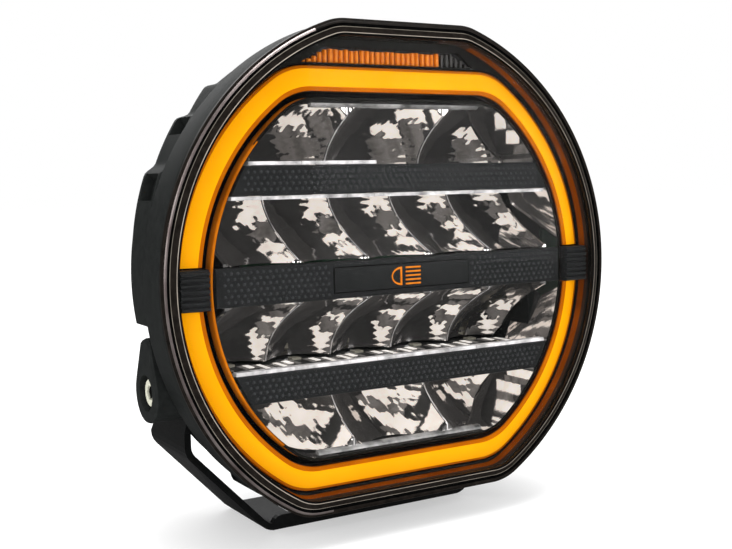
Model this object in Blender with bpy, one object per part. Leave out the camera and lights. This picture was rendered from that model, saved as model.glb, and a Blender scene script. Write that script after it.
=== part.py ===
"""A nine-inch auxiliary driving lamp with an amber position ring, on a steel U-bracket.

Lengths are millimetres until a mesh is made, which scales them to metres.
Every section is drawn in the lamp's own frame: x to the side, d behind the front of the rim, z above
the rim's centre. The world frame has +Z up, the lamp facing -Y, and its origin under the middle of the
whole lamp, on the surface that the bracket stands on.
"""

import math

import bmesh
import bpy
from mathutils import Vector

MM = 0.001
GAP = 0.3

# Overall
RIM_RADIUS = 114.0
RIM_TOP = 109.0
RIM_BOTTOM = 101.0
RIM_CORNER = 26.0
CENTRE_HEIGHT = 116.0
FRONT_DEPTH = -1.0
REAR_DEPTH = 97.0
MIDDLE_DEPTH = (FRONT_DEPTH + REAR_DEPTH) / 2

# Amber ring and the optics inside it, which sit a little below the rim's centre
OPTICS_Z = -1.0
RING_OUTER = 104.7
RING_OUTER_FLAT = 90.8
RING_INNER = 94.5
RING_INNER_FLAT = 80.0
RING_CORNER = 26.0
RING_CUT = 8.9
RING_OUTER_DEPTH = 8.4
RING_INNER_DEPTH = 6.1
RING_BACK_DEPTH = 11.5
RING_EDGE = 0.8
SHROUD_OUTER = 91.6
SHROUD_INNER = 90.2
SHROUD_OUTER_FLAT = 77.4
SHROUD_INNER_FLAT = 76.0
SHROUD_CORNER = 24.0

# Warning light above the ring: a strip whose ends slope
WARNING_LOW = 92.6
WARNING_HIGH = 98.6
WARNING_HALF_LOW = 42.0
WARNING_HALF_HIGH = 34.0
WARNING_FRONT = 9.4
WARNING_BACK = 12.0
WARNING_CHIPS = 8
WARNING_CHIP_PITCH = 10.0

# Bars across the face
BAR_FRONT = 4.2
BAR_BACK = 7.2
CENTRE_BAR_HALF = 8.0
SIDE_BAR_LOW = 36.9
SIDE_BAR_HIGH = 49.2
BADGE_HALF_WIDTH = 35.0
BADGE_HALF_HEIGHT = 5.2
BADGE_RECESS = 1.2

# Reflectors: half bowls that open away from the light boards behind the two side bars
BOWL_APEX = 53.0
BOWL_FOCUS = 6.5
BOWL_FRONT = 7.8
BOWL_SHELL = 1.5
BOWL_REACH = 84.4
WIDE_PITCH = 50.0
NARROW_PITCH = 33.4
PLATE_MIDDLE = 43.0
PLATE_HALF = 2.0
BOARD_THICKNESS = 1.0
CHIP_HEIGHT = 0.7
CHIP_SIZE = 4.4
BOWL_START = 1.3

# Driver board behind the reflectors, and the face that its parts end at
DRIVER_DEPTH = 66.0
PART_FOOT = DRIVER_DEPTH - GAP

# Housing
BAND_INSET = 1.2
BAND_FRONT = 5.2
BAND_BACK = 25.0
LOBE_BACK = 45.0
BODY_BACK = 78.0
FIN_BACK = 90.0
FIN_COUNT = 11
FIN_PITCH = 13.0
FIN_THICKNESS = 2.6
SIDE_FLAT = 87.6
SIDE_FLAT_TOP = -18.0
SIDE_WALL = 2.8
INNER_SHRINK = 4.2
BAND_WALL = 4.4
BOSS_INNER = 77.0
BOSS_RADIUS = 7.4
INSERT_RADIUS = 5.6
GLAND_Z = -60.0
GLAND_RADIUS = 8.0
GLAND_STEPS = 24
VENT_Z = -30.0
VENT_RADIUS = 5.0
VENT_STEPS = 20
# Angle above the horizontal in degrees, and the radius of the body behind the band
LOBES = (
    (-62.0, 110.0), (-61.0, 113.6), (-53.0, 113.6), (-52.0, 110.0), (-9.6, 110.4), (10.0, 111.0),
    (24.6, 113.0), (26.0, 110.0), (38.6, 112.3), (40.0, 108.6), (48.6, 111.8), (50.0, 109.0),
)

# Bracket and pivots
STEEL = 3.0
ARM_OUTER = 92.3
BASE_HALF = 54.0
BRACKET_FRONT = 37.0
BRACKET_BACK = 79.0
ELBOW_Z = -76.0
FLANGE_HALF = 51.5
FLANGE_TOP = -109.5
FLANGE_CORNER = 5.0
PIVOT_DEPTH = 41.0
PIVOT_Z = -47.0
EYE_RADIUS = 13.0
BLOCK_OUTER = 107.5
BLOCK_TIP_Z = -26.0
BOLT_RADIUS = 4.0
BOLT_HEAD_RADIUS = 6.5
COUNTERBORE_RADIUS = 7.8
COUNTERBORE_FLOOR = 96.4
BASE_HOLE_RADIUS = 5.25
SLOT_X = 33.0
SLOT_RADIUS = 4.25
SLOT_HALF_LENGTH = 7.0

ARC_STEPS = 7
CORNER_STEPS = 3


# ---------------------------------------------------------------- materials

def material(name, colour, roughness, metallic=0.0, alpha=1.0):
    found = bpy.data.materials.get(name)
    if found:
        return found
    made = bpy.data.materials.new(name)
    made.use_nodes = True
    shader = made.node_tree.nodes["Principled BSDF"]
    shader.inputs["Base Color"].default_value = (*colour, 1.0)
    shader.inputs["Roughness"].default_value = roughness
    shader.inputs["Metallic"].default_value = metallic
    shader.inputs["Alpha"].default_value = alpha
    made.diffuse_color = (*colour, alpha)
    return made


def cast_black():
    return material("cast_black_coating", (0.028, 0.030, 0.030), 0.45)


def steel_black():
    return material("steel_black_coating", (0.014, 0.015, 0.016), 0.38)


def bare_steel():
    return material("bare_steel", (0.62, 0.60, 0.52), 0.32, 1.0)


def clear_lens():
    return material("clear_polycarbonate", (0.80, 0.80, 0.78), 0.05, 0.0, 0.2)


def gloss_black():
    return material("black_bezel", (0.012, 0.012, 0.012), 0.22)


def textured_black():
    return material("textured_grey_black", (0.036, 0.038, 0.042), 0.50)


def amber():
    return material("amber_diffuser", (1.0, 0.42, 0.01), 0.35)


def chrome():
    return material("reflector_chrome", (0.78, 0.78, 0.80), 0.06, 1.0)


def aluminium():
    return material("plain_aluminium", (0.60, 0.61, 0.62), 0.40, 1.0)


def board_green():
    return material("circuit_board", (0.05, 0.16, 0.09), 0.50)


def board_dark():
    return material("dark_light_board", (0.015, 0.016, 0.016), 0.40)


def chip_yellow():
    return material("light_chip", (0.90, 0.78, 0.28), 0.40)


def rubber():
    return material("black_rubber", (0.010, 0.010, 0.010), 0.80)


def nylon():
    return material("black_nylon", (0.022, 0.022, 0.023), 0.55)


# ---------------------------------------------------------------- outlines

def upper_half(radius, flat, corner, cut=0.0):
    """Points over the top, from the right end at height cut to the left one: arc, corner, flat, mirrored."""
    corner_z = flat - corner
    corner_x = math.sqrt((radius - corner) ** 2 - corner_z ** 2)
    meet = math.atan2(corner_z, corner_x)
    start = math.asin(cut / radius)
    right = []
    for i in range(ARC_STEPS + 1):
        angle = start + (meet - start) * i / ARC_STEPS
        right.append((radius * math.cos(angle), radius * math.sin(angle)))
    for i in range(1, CORNER_STEPS + 1):
        angle = meet + (math.pi / 2 - meet) * i / CORNER_STEPS
        right.append((corner_x + corner * math.cos(angle), corner_z + corner * math.sin(angle)))
    return right + [(-x, z) for x, z in reversed(right)]


def full_outline(radius, top, bottom, corner, middle=0.0):
    """The whole outline, counterclockwise from the right."""
    over = upper_half(radius, top, corner)
    under = [(x, -z) for x, z in reversed(upper_half(radius, bottom, corner))]
    return [(x, z + middle) for x, z in over + under[1:-1]]


def rim(inset):
    """The lamp's rim, moved inwards: the corners keep their centres."""
    return full_outline(RIM_RADIUS - inset, RIM_TOP - inset, RIM_BOTTOM - inset, RIM_CORNER - inset)


def optics(radius, flat, corner=RING_CORNER):
    return full_outline(radius, flat, flat, corner, OPTICS_Z)


def at_depth(outline, depth):
    return [(x, depth, z) for x, z in outline]


def round_outline(radius, steps, cx=0.0, cz=0.0):
    return [
        (cx + radius * math.cos(2 * math.pi * i / steps), cz + radius * math.sin(2 * math.pi * i / steps))
        for i in range(steps)
    ]


def shroud_half_width(z):
    """Half the width inside the optics' shroud at height z above the optics' centre, less a clearance."""
    radius = SHROUD_INNER - 0.7
    corner = SHROUD_CORNER - 2.1
    corner_z = SHROUD_INNER_FLAT - 0.7 - corner
    corner_x = math.sqrt((radius - corner) ** 2 - corner_z ** 2)
    if abs(z) <= corner_z * radius / (radius - corner):
        return min(math.sqrt(radius ** 2 - z ** 2), BOWL_REACH)
    return corner_x + math.sqrt(max(corner ** 2 - (abs(z) - corner_z) ** 2, 0.0))


# ---------------------------------------------------------------- mesh building

def add_rows(bm, rows, loop_rows=False, loop_points=True):
    """Skins rows of points that all have the same count. Open rows' ends are capped."""
    made = [[bm.verts.new(Vector(p) * MM) for p in row] for row in rows]
    pairs = list(zip(made, made[1:]))
    if loop_rows:
        pairs.append((made[-1], made[0]))
    count = len(made[0])
    for low, high in pairs:
        for i in range(count if loop_points else count - 1):
            j = (i + 1) % count
            bm.faces.new((low[i], low[j], high[j], high[i]))
    if not loop_rows:
        bm.faces.new(made[0])
        bm.faces.new(made[-1])
    if loop_rows and not loop_points:
        bm.faces.new([row[0] for row in made])
        bm.faces.new([row[-1] for row in made])


def add_box(bm, x0, x1, d0, d1, z0, z1):
    corners = [(x0, z0), (x1, z0), (x1, z1), (x0, z1)]
    add_rows(bm, [at_depth(corners, d0), at_depth(corners, d1)])


def add_prism(bm, outline, d0, d1):
    add_rows(bm, [at_depth(outline, d0), at_depth(outline, d1)])


def add_rod_along_x(bm, x0, x1, radius, depth, z, steps=24):
    circle = round_outline(radius, steps, depth, z)
    add_rows(bm, [[(x, a, b) for a, b in circle] for x in (x0, x1)])


def add_tube_along_x(bm, x0, x1, outer, inner, depth, z, steps=24):
    big = round_outline(outer, steps, depth, z)
    small = round_outline(inner, steps, depth, z)
    ends = ((x0, big), (x1, big), (x1, small), (x0, small))
    add_rows(bm, [[(x, a, b) for a, b in circle] for x, circle in ends], loop_rows=True)


def make(name, bm, finish, parent=None):
    """Turns the built mesh into a named object. A lamp part hangs from the pivot's empty."""
    bmesh.ops.recalc_face_normals(bm, faces=bm.faces)
    mesh = bpy.data.meshes.new(name)
    bm.to_mesh(mesh)
    bm.free()
    mesh.materials.append(finish)
    mesh.shade_smooth()
    mesh.set_sharp_from_angle(angle=math.radians(35))
    made = bpy.data.objects.new(name, mesh)
    bpy.context.scene.collection.objects.link(made)
    rim_centre = Vector((0, -MIDDLE_DEPTH, CENTRE_HEIGHT)) * MM
    if parent:
        made.parent = parent
        made.location = rim_centre - parent.location
    else:
        made.location = rim_centre
    return made


def combine(target, tools, operation):
    """Applies one Boolean for each tool and removes the tools."""
    for tool in tools:
        bpy.context.view_layer.update()
        step = target.modifiers.new("combine", "BOOLEAN")
        step.operation = operation
        step.object = tool
        graph = bpy.context.evaluated_depsgraph_get()
        mesh = bpy.data.meshes.new_from_object(target.evaluated_get(graph))
        target.modifiers.clear()
        target.data = mesh
        bpy.data.objects.remove(tool)
    target.data.shade_smooth()
    target.data.set_sharp_from_angle(angle=math.radians(35))


def tool(add, *sizes, parent=None):
    """A solid that cuts or joins another one."""
    bm = bmesh.new()
    add(bm, *sizes)
    return make("tool", bm, cast_black(), parent)


def single(name, finish, parent, add, *sizes):
    """An object from one call of one of the functions above."""
    bm = bmesh.new()
    add(bm, *sizes)
    return make(name, bm, finish, parent)


# ---------------------------------------------------------------- housing

def body_radius(angle):
    """Radius of the lobed body at an angle in radians, counterclockwise from the right."""
    rise = math.degrees(math.asin(math.sin(angle)))
    low = LOBES[0]
    radius = LOBES[-1][1] if rise > LOBES[-1][0] else low[1]
    for high in LOBES[1:]:
        if low[0] <= rise <= high[0]:
            share = (rise - low[0]) / (high[0] - low[0])
            radius = low[1] + (high[1] - low[1]) * share
        low = high
    return radius


def body_row(depth, shrink, scale_lobes=1.0, side_wall=0.0, steps=96):
    """One section of the body behind the band: lobes, top and bottom flats, and the bracket's side flats."""
    row = []
    shelf = SIDE_FLAT_TOP + side_wall
    for i in range(steps):
        angle = 2 * math.pi * i / steps
        side, up = math.cos(angle), math.sin(angle)
        radius = 108.0 + (body_radius(angle) - 108.0) * scale_lobes - shrink
        if up > 0.01:
            radius = min(radius, (RIM_TOP - 2.2 - shrink) / up)
        if up < -0.01:
            radius = min(radius, (RIM_BOTTOM - 2.2 - shrink) / -up)
        flat = SIDE_FLAT - max(shrink - 14.0, side_wall)
        if radius * up < shelf:
            radius = min(radius, flat / max(abs(side), 0.01))
            radius = max(radius, -shelf / max(-up, 0.01)) if abs(side) > 0.9 else radius
        row.append((radius * side, depth, radius * up))
    return row


def band_row(depth, inset, steps=96):
    """One section of the round front band, at the same angles as the body's sections."""
    row = []
    radius_here = RIM_RADIUS - inset
    for i in range(steps):
        angle = 2 * math.pi * i / steps
        side, up = math.cos(angle), math.sin(angle)
        flat = (RIM_TOP if up > 0 else RIM_BOTTOM) - inset
        corner = RIM_CORNER - inset
        centre_z = flat - corner
        centre_x = math.sqrt((radius_here - corner) ** 2 - centre_z ** 2)
        radius = radius_here
        if centre_x * abs(up) > flat * abs(side):
            radius = flat / abs(up)
        elif centre_x * abs(up) > centre_z * abs(side):
            along = centre_x * abs(side) + centre_z * abs(up)
            radius = along + math.sqrt(along ** 2 - centre_x ** 2 - centre_z ** 2 + corner ** 2)
        row.append((radius * side, depth, radius * up))
    return row


def build_housing(lamp):
    """The die-cast cup: a smooth band in front, lobes behind it, then a round body with cooling fins."""
    bm = bmesh.new()
    outside = [
        band_row(BAND_FRONT, BAND_INSET + 0.6), band_row(BAND_FRONT + 0.8, BAND_INSET),
        band_row(BAND_BACK - 1.0, BAND_INSET), band_row(BAND_BACK, BAND_INSET + 1.0),
        body_row(BAND_BACK + 0.6, 0.0), body_row(LOBE_BACK, 0.0), body_row(LOBE_BACK + 3.0, 2.0),
        body_row(LOBE_BACK + 9.0, 12.0, 0.4), body_row(BODY_BACK - 8.0, 15.0, 0.0),
        body_row(BODY_BACK, 21.0, 0.0),
    ]
    inside = [
        body_row(BODY_BACK - 4.5, 24.5, 0.0), body_row(BODY_BACK - 12.0, 18.5, 0.0),
        body_row(LOBE_BACK + 7.0, 16.6, 0.0), body_row(LOBE_BACK - 1.0, INNER_SHRINK, 0.0, SIDE_WALL),
        body_row(BAND_BACK - 2.0, INNER_SHRINK, 0.0, SIDE_WALL), band_row(BAND_BACK - 4.5, BAND_WALL),
        band_row(BAND_FRONT, BAND_WALL),
    ]
    add_rows(bm, list(reversed(outside)) + list(reversed(inside)))
    housing = make("housing", bm, cast_black(), lamp)
    joins = []
    for i in range(FIN_COUNT):
        x = (i - (FIN_COUNT - 1) / 2) * FIN_PITCH
        reach = math.sqrt(84.0 ** 2 - x ** 2) - 3.0
        low = -reach if abs(x) > 20.0 else -16.0
        joins.append(
            tool(add_box, x - FIN_THICKNESS / 2, x + FIN_THICKNESS / 2, BODY_BACK - 1.5, FIN_BACK, low, reach,
                 parent=lamp)
        )
    for side in (-1, 1):
        joins.append(
            tool(add_rod_along_x, side * BOSS_INNER, side * (SIDE_FLAT - 0.4), BOSS_RADIUS,
                 PIVOT_DEPTH, PIVOT_Z, parent=lamp)
        )
    combine(housing, joins, "UNION")
    cuts = []
    for side in (-1, 1):
        cuts.append(
            tool(add_rod_along_x, side * (BOSS_INNER + 1.5), side * (SIDE_FLAT + 2.0), INSERT_RADIUS + GAP,
                 PIVOT_DEPTH, PIVOT_Z, parent=lamp)
        )
    for radius, steps, z in ((GLAND_RADIUS, GLAND_STEPS, GLAND_Z), (VENT_RADIUS, VENT_STEPS, VENT_Z)):
        hole = round_outline(radius + GAP, steps, 0.0, z)
        cuts.append(tool(add_prism, hole, BODY_BACK - 12.0, BODY_BACK + 6.0, parent=lamp))
    combine(housing, cuts, "DIFFERENCE")


def build_rear_fittings(lamp):
    """The cable inlet and the breather, both screwed into the back wall."""
    bm = bmesh.new()
    sections = (
        (BODY_BACK - 8.0, GLAND_RADIUS), (BODY_BACK + GAP, GLAND_RADIUS), (BODY_BACK + GAP, 11.0),
        (BODY_BACK + 5.0, 11.0),
        (BODY_BACK + 5.0, 9.4), (REAR_DEPTH - 5.0, 9.4), (REAR_DEPTH - 5.0, 5.2), (BODY_BACK - 8.0, 5.2),
    )
    rows = [at_depth(round_outline(r, GLAND_STEPS, 0.0, GLAND_Z), d) for d, r in sections]
    add_rows(bm, rows, loop_rows=True)
    make("cable_gland_body", bm, nylon(), lamp)

    bm = bmesh.new()
    sections = (
        (BODY_BACK + 5.4, 9.8), (BODY_BACK + 5.4, 11.6), (REAR_DEPTH - 2.0, 11.6), (REAR_DEPTH, 9.6),
        (REAR_DEPTH, 4.2), (REAR_DEPTH - 2.6, 4.2), (REAR_DEPTH - 4.6, 9.8),
    )
    rows = [at_depth(round_outline(r, GLAND_STEPS, 0.0, GLAND_Z), d) for d, r in sections]
    add_rows(bm, rows, loop_rows=True)
    make("cable_gland_nut", bm, nylon(), lamp)

    bm = bmesh.new()
    front, back = BODY_BACK + 1.0, REAR_DEPTH - 5.4
    sections = ((front, 4.9), (back, 4.9), (back, 3.4), (front, 3.4))
    rows = [at_depth(round_outline(r, GLAND_STEPS, 0.0, GLAND_Z), d) for d, r in sections]
    add_rows(bm, rows, loop_rows=True)
    make("cable_gland_seal", bm, rubber(), lamp)

    bm = bmesh.new()
    sections = (
        (BODY_BACK - 7.0, VENT_RADIUS), (BODY_BACK + GAP, VENT_RADIUS), (BODY_BACK + GAP, 7.6),
        (BODY_BACK + 3.4, 7.6), (BODY_BACK + 4.6, 6.4),
    )
    rows = [at_depth(round_outline(r, VENT_STEPS, 0.0, VENT_Z), d) for d, r in sections]
    add_rows(bm, rows)
    make("breather_vent", bm, nylon(), lamp)


# ---------------------------------------------------------------- front

def build_lens(lamp):
    """The clear cover: a flat face, a sloped shoulder, a groove and the flange that sits on the seal."""
    bm = bmesh.new()
    sections = (
        (5.9, FRONT_DEPTH), (5.4, FRONT_DEPTH + 0.15),
        (3.4, 0.7), (2.6, 0.9), (2.2, 0.9), (1.9, 0.1), (0.4, 0.0),
        (0.0, 0.5), (0.0, 2.0), (0.4, 2.4), (2.4, 2.4), (5.0, 2.2), (7.0, 1.5),
    )
    add_rows(bm, [at_depth(rim(inset), depth) for inset, depth in sections])
    make("outer_lens", bm, clear_lens(), lamp)

    bm = bmesh.new()
    sections = ((0.6, 2.4 + GAP), (2.3, 2.4 + GAP), (2.3, 4.9), (0.6, 4.9))
    add_rows(bm, [at_depth(rim(inset), depth) for inset, depth in sections], loop_rows=True)
    make("lens_seal", bm, rubber(), lamp)


def build_bezels(lamp):
    """The mask around the ring, with the warning light's window, and the shroud around the reflectors."""
    bm = bmesh.new()
    rows = [
        at_depth(rim(2.7), 3.0), at_depth(rim(5.8), 3.0), at_depth(rim(7.5), 8.6),
        at_depth(optics(105.2, 91.3), 8.8), at_depth(optics(105.2, 91.3), 16.0),
        at_depth(optics(107.0, 93.1), 16.0), at_depth(optics(107.0, 93.1), 10.6),
        at_depth(rim(5.5), 10.6), at_depth(rim(4.9), 4.8), at_depth(rim(2.7), 4.8),
    ]
    add_rows(bm, rows, loop_rows=True)
    mask = make("outer_bezel", bm, gloss_black(), lamp)
    window = tool(add_prism, warning_outline(0.5), 6.0, 14.0, parent=lamp)
    combine(mask, [window], "DIFFERENCE")

    bm = bmesh.new()
    rows = [
        at_depth(optics(SHROUD_OUTER, SHROUD_OUTER_FLAT, SHROUD_CORNER), 5.0),
        at_depth(optics(SHROUD_OUTER, SHROUD_OUTER_FLAT, SHROUD_CORNER), 21.0),
        at_depth(optics(SHROUD_INNER, SHROUD_INNER_FLAT, SHROUD_CORNER - 1.4), 21.0),
        at_depth(optics(SHROUD_INNER, SHROUD_INNER_FLAT, SHROUD_CORNER - 1.4), 5.0),
    ]
    add_rows(bm, rows, loop_rows=True)
    make("inner_bezel", bm, gloss_black(), lamp)


def warning_outline(grow):
    """The warning light's window: a low strip whose ends slope."""
    wider = 2.2 * grow
    return [
        (-WARNING_HALF_LOW - wider, WARNING_LOW - grow), (WARNING_HALF_LOW + wider, WARNING_LOW - grow),
        (WARNING_HALF_HIGH + wider, WARNING_HIGH + grow), (-WARNING_HALF_HIGH - wider, WARNING_HIGH + grow),
    ]


def build_warning_light(lamp):
    single("warning_lens", amber(), lamp, add_prism, warning_outline(0.0), WARNING_FRONT, WARNING_BACK)
    board = single("warning_board", board_green(), lamp, add_box, -40.0, 40.0, 14.4, 15.6, 94.0, 99.6)
    bm = bmesh.new()
    for i in range(WARNING_CHIPS):
        x = (i - (WARNING_CHIPS - 1) / 2) * WARNING_CHIP_PITCH
        add_box(bm, x - 1.6, x + 1.6, 13.3, 14.7, 94.6, 97.8)
    combine(board, [make("tool", bm, chip_yellow(), lamp)], "UNION")


def ring_half(radius, flat, cut, sign):
    return [(x, OPTICS_Z + sign * z) for x, z in upper_half(radius, flat, RING_CORNER, cut)]


def build_ring(lamp):
    """The two amber light guides, with their boards and chips behind them."""
    for name, sign in (("upper", 1), ("lower", -1)):
        sections = (
            (RING_OUTER, RING_OUTER_FLAT, RING_OUTER_DEPTH + RING_EDGE),
            (RING_OUTER - RING_EDGE, RING_OUTER_FLAT - RING_EDGE, RING_OUTER_DEPTH),
            (RING_INNER + RING_EDGE, RING_INNER_FLAT + RING_EDGE, RING_INNER_DEPTH),
            (RING_INNER, RING_INNER_FLAT, RING_INNER_DEPTH + RING_EDGE),
            (RING_INNER, RING_INNER_FLAT, RING_BACK_DEPTH),
            (RING_OUTER, RING_OUTER_FLAT, RING_BACK_DEPTH),
        )
        bm = bmesh.new()
        rows = [at_depth(ring_half(r, f, RING_CUT, sign), d) for r, f, d in sections]
        add_rows(bm, rows, loop_rows=True, loop_points=False)
        make(f"light_ring_{name}", bm, amber(), lamp)

        bm = bmesh.new()
        sections = ((104.0, 90.1, 13.6), (95.2, 80.7, 13.6), (95.2, 80.7, 15.0), (104.0, 90.1, 15.0))
        rows = [at_depth(ring_half(r, f, RING_CUT + 1.0, sign), d) for r, f, d in sections]
        add_rows(bm, rows, loop_rows=True, loop_points=False)
        board = make(f"ring_board_{name}", bm, board_dark(), lamp)

        bm = bmesh.new()
        path = ring_half(99.6, 85.4, RING_CUT + 8.0, sign)
        for x, z in path[::2] + [(0.0, OPTICS_Z + sign * 85.4)]:
            add_box(bm, x - 1.5, x + 1.5, 12.4, 13.9, z - 1.5, z + 1.5)
        combine(board, [make("tool", bm, chip_yellow(), lamp)], "UNION")


def build_bars(lamp):
    """The centre bar with its blank panel and ribbed end blocks, and the two side bars."""
    bar = single("centre_bar", textured_black(), lamp, add_box, -89.0, 89.0, BAR_FRONT, BAR_BACK + 1.0,
                 OPTICS_Z - CENTRE_BAR_HALF, OPTICS_Z + CENTRE_BAR_HALF)
    recess = tool(add_box, -BADGE_HALF_WIDTH, BADGE_HALF_WIDTH, 0.0, BAR_FRONT + BADGE_RECESS,
                  OPTICS_Z - BADGE_HALF_HEIGHT, OPTICS_Z + BADGE_HALF_HEIGHT, parent=lamp)
    combine(bar, [recess], "DIFFERENCE")
    single("badge_panel", gloss_black(), lamp, add_box, GAP - BADGE_HALF_WIDTH, BADGE_HALF_WIDTH - GAP,
           BAR_FRONT + 0.2, BAR_FRONT + BADGE_RECESS - GAP,
           OPTICS_Z - BADGE_HALF_HEIGHT + GAP, OPTICS_Z + BADGE_HALF_HEIGHT - GAP)
    for name, sign in (("left", -1), ("right", 1)):
        bm = bmesh.new()
        z0 = OPTICS_Z - CENTRE_BAR_HALF - 0.3
        pitch = (2 * CENTRE_BAR_HALF + 0.6) / 4
        profile = [(7.6, z0), (2.6, z0)]
        for i in range(4):
            profile += [(2.0, z0 + pitch * (i + 0.15)), (2.0, z0 + pitch * (i + 0.75))]
            if i < 3:
                profile.append((3.0, z0 + pitch * (i + 0.95)))
        profile += [(2.6, z0 + 4 * pitch), (7.6, z0 + 4 * pitch)]
        rows = [[(sign * x, d, z) for d, z in profile] for x in (92.8, 105.2)]
        add_rows(bm, rows)
        make(f"ribbed_block_{name}", bm, textured_black(), lamp)
    for name, sign in (("upper", 1), ("lower", -1)):
        right = []
        for i in range(4):
            z = SIDE_BAR_LOW + (SIDE_BAR_HIGH - SIDE_BAR_LOW) * i / 3
            right.append((math.sqrt((SHROUD_INNER - 0.9) ** 2 - z ** 2), z))
        outline = right + [(-x, z) for x, z in reversed(right)]
        outline = [(x, OPTICS_Z + sign * z) for x, z in outline]
        single(f"{name}_bar", textured_black(), lamp, add_prism, outline, BAR_FRONT, BAR_BACK)


# ---------------------------------------------------------------- optics

def bowl_depth(across, away):
    """Depth of a bowl's surface, across from its axis and away from its light board."""
    return max(BOWL_APEX - (across ** 2 + away ** 2) / (4 * BOWL_FOCUS), BOWL_FRONT)


def build_reflector(name, lamp, pitch, cells, base, reach, sign, side):
    """A row of half bowls. base is the board's face, sign points away from it, side is the row's half."""
    columns_per_cell = 6
    centres = [(i - (cells - 1) / 2) * pitch for i in range(cells)]
    steps = 7
    front, back = [], []
    for j in range(steps):
        away = BOWL_START + (reach - BOWL_START) * j / (steps - 1)
        height = base + sign * away
        limit = shroud_half_width(height)
        line = []
        for i, centre in enumerate(centres):
            low = centre - pitch / 2 if i else -limit
            high = centre + pitch / 2 if i < cells - 1 else limit
            first = 0 if i == 0 else 1
            for k in range(first, columns_per_cell + 1):
                x = low + (high - low) * k / columns_per_cell
                line.append((x, bowl_depth(x - centre, away), OPTICS_Z + side * height))
        front.append(line)
        back.append([(x, d + BOWL_SHELL, z) for x, d, z in line])
    bm = bmesh.new()
    add_sheet(bm, front, back)
    make(name, bm, chrome(), lamp)


def add_sheet(bm, front, back):
    """A closed sheet between two grids of points."""
    top = [[bm.verts.new(Vector(p) * MM) for p in line] for line in front]
    low = [[bm.verts.new(Vector(p) * MM) for p in line] for line in back]
    rows, columns = len(top), len(top[0])
    for grid in (top, low):
        for j in range(rows - 1):
            for i in range(columns - 1):
                bm.faces.new((grid[j][i], grid[j][i + 1], grid[j + 1][i + 1], grid[j + 1][i]))
    border = [(0, i) for i in range(columns)] + [(j, columns - 1) for j in range(1, rows)]
    border += [(rows - 1, i) for i in range(columns - 2, -1, -1)] + [(j, 0) for j in range(rows - 2, 0, -1)]
    for (j, i), (n, m) in zip(border, border[1:] + border[:1]):
        bm.faces.new((top[j][i], top[n][m], low[n][m], low[j][i]))


def build_optics(lamp):
    """Four rows of reflectors, lit from two plates that carry a board on each face."""
    outer_face = PLATE_MIDDLE + PLATE_HALF + GAP + BOARD_THICKNESS
    inner_face = PLATE_MIDDLE - PLATE_HALF - GAP - BOARD_THICKNESS
    outer_reach = SHROUD_INNER_FLAT - 0.8 - outer_face
    inner_reach = inner_face - CENTRE_BAR_HALF - 0.4
    rows = (
        ("1", WIDE_PITCH, 3, outer_face, outer_reach, 1, 1),
        ("2", NARROW_PITCH, 5, inner_face, inner_reach, -1, 1),
        ("3", NARROW_PITCH, 5, inner_face, inner_reach, -1, -1),
        ("4", WIDE_PITCH, 3, outer_face, outer_reach, 1, -1),
    )
    for row, pitch, cells, base, reach, sign, side in rows:
        build_reflector(f"reflector_row_{row}", lamp, pitch, cells, base, reach, sign, side)
        span = sorted((OPTICS_Z + side * base, OPTICS_Z + side * (base - sign * BOARD_THICKNESS)))
        board = single(f"led_board_row_{row}", board_dark(), lamp, add_box, -70.0, 70.0, 10.0, 54.0, *span)
        bm = bmesh.new()
        for i in range(cells):
            x = (i - (cells - 1) / 2) * pitch
            depth = BOWL_APEX - BOWL_FOCUS
            foot, top = base - sign * GAP, base + sign * CHIP_HEIGHT
            face = sorted((OPTICS_Z + side * foot, OPTICS_Z + side * top))
            half = CHIP_SIZE / 2
            add_box(bm, x - half, x + half, depth - half, depth + half, *face)
        combine(board, [make("tool", bm, chip_yellow(), lamp)], "UNION")
    for name, side in (("upper", 1), ("lower", -1)):
        middle = OPTICS_Z + side * PLATE_MIDDLE
        low, high = middle - PLATE_HALF, middle + PLATE_HALF
        plate = single(f"heat_plate_{name}", aluminium(), lamp, add_box, -72.0, 72.0, 9.0, 58.0, low, high)
        foot = tool(add_box, -60.0, 60.0, 56.0, BODY_BACK - 4.9, low, high, parent=lamp)
        combine(plate, [foot], "UNION")


def build_driver(lamp):
    """The driver board behind the reflectors, with its coils and capacitors."""
    single("driver_board", board_green(), lamp, add_box, -50.0, 50.0, DRIVER_DEPTH, DRIVER_DEPTH + 1.6,
           -36.0, 34.0)
    for i, x in enumerate((-30.0, -6.0, 18.0), 1):
        coil = round_outline(6.5, 12, x, 12.0)
        capacitor = round_outline(4.0, 12, x, -16.0)
        single(f"driver_coil_{i}", nylon(), lamp, add_prism, coil, 58.8, PART_FOOT)
        single(f"driver_capacitor_{i}", aluminium(), lamp, add_prism, capacitor, 58.2, PART_FOOT)
    corners = ((-46.0, -32.0), (46.0, -32.0), (-46.0, 30.0), (46.0, 30.0))
    for i, (x, z) in enumerate(corners, 1):
        screw = round_outline(3.0, 10, x, z)
        single(f"driver_screw_{i}", bare_steel(), lamp, add_prism, screw, 63.6, PART_FOOT)


# ---------------------------------------------------------------- bracket and pivots

def arm_outline():
    """The bracket seen from the side, as (depth, height): a straight leg with a round eye at the pivot."""
    points = [(BRACKET_FRONT, -130.0), (BRACKET_FRONT, -66.0)]
    for i in range(13):
        angle = math.radians(205.0 - 190.0 * i / 12)
        points.append((PIVOT_DEPTH + EYE_RADIUS * math.cos(angle), PIVOT_Z + EYE_RADIUS * math.sin(angle)))
    return points + [(BRACKET_BACK, -72.0), (BRACKET_BACK, -130.0)]


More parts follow.
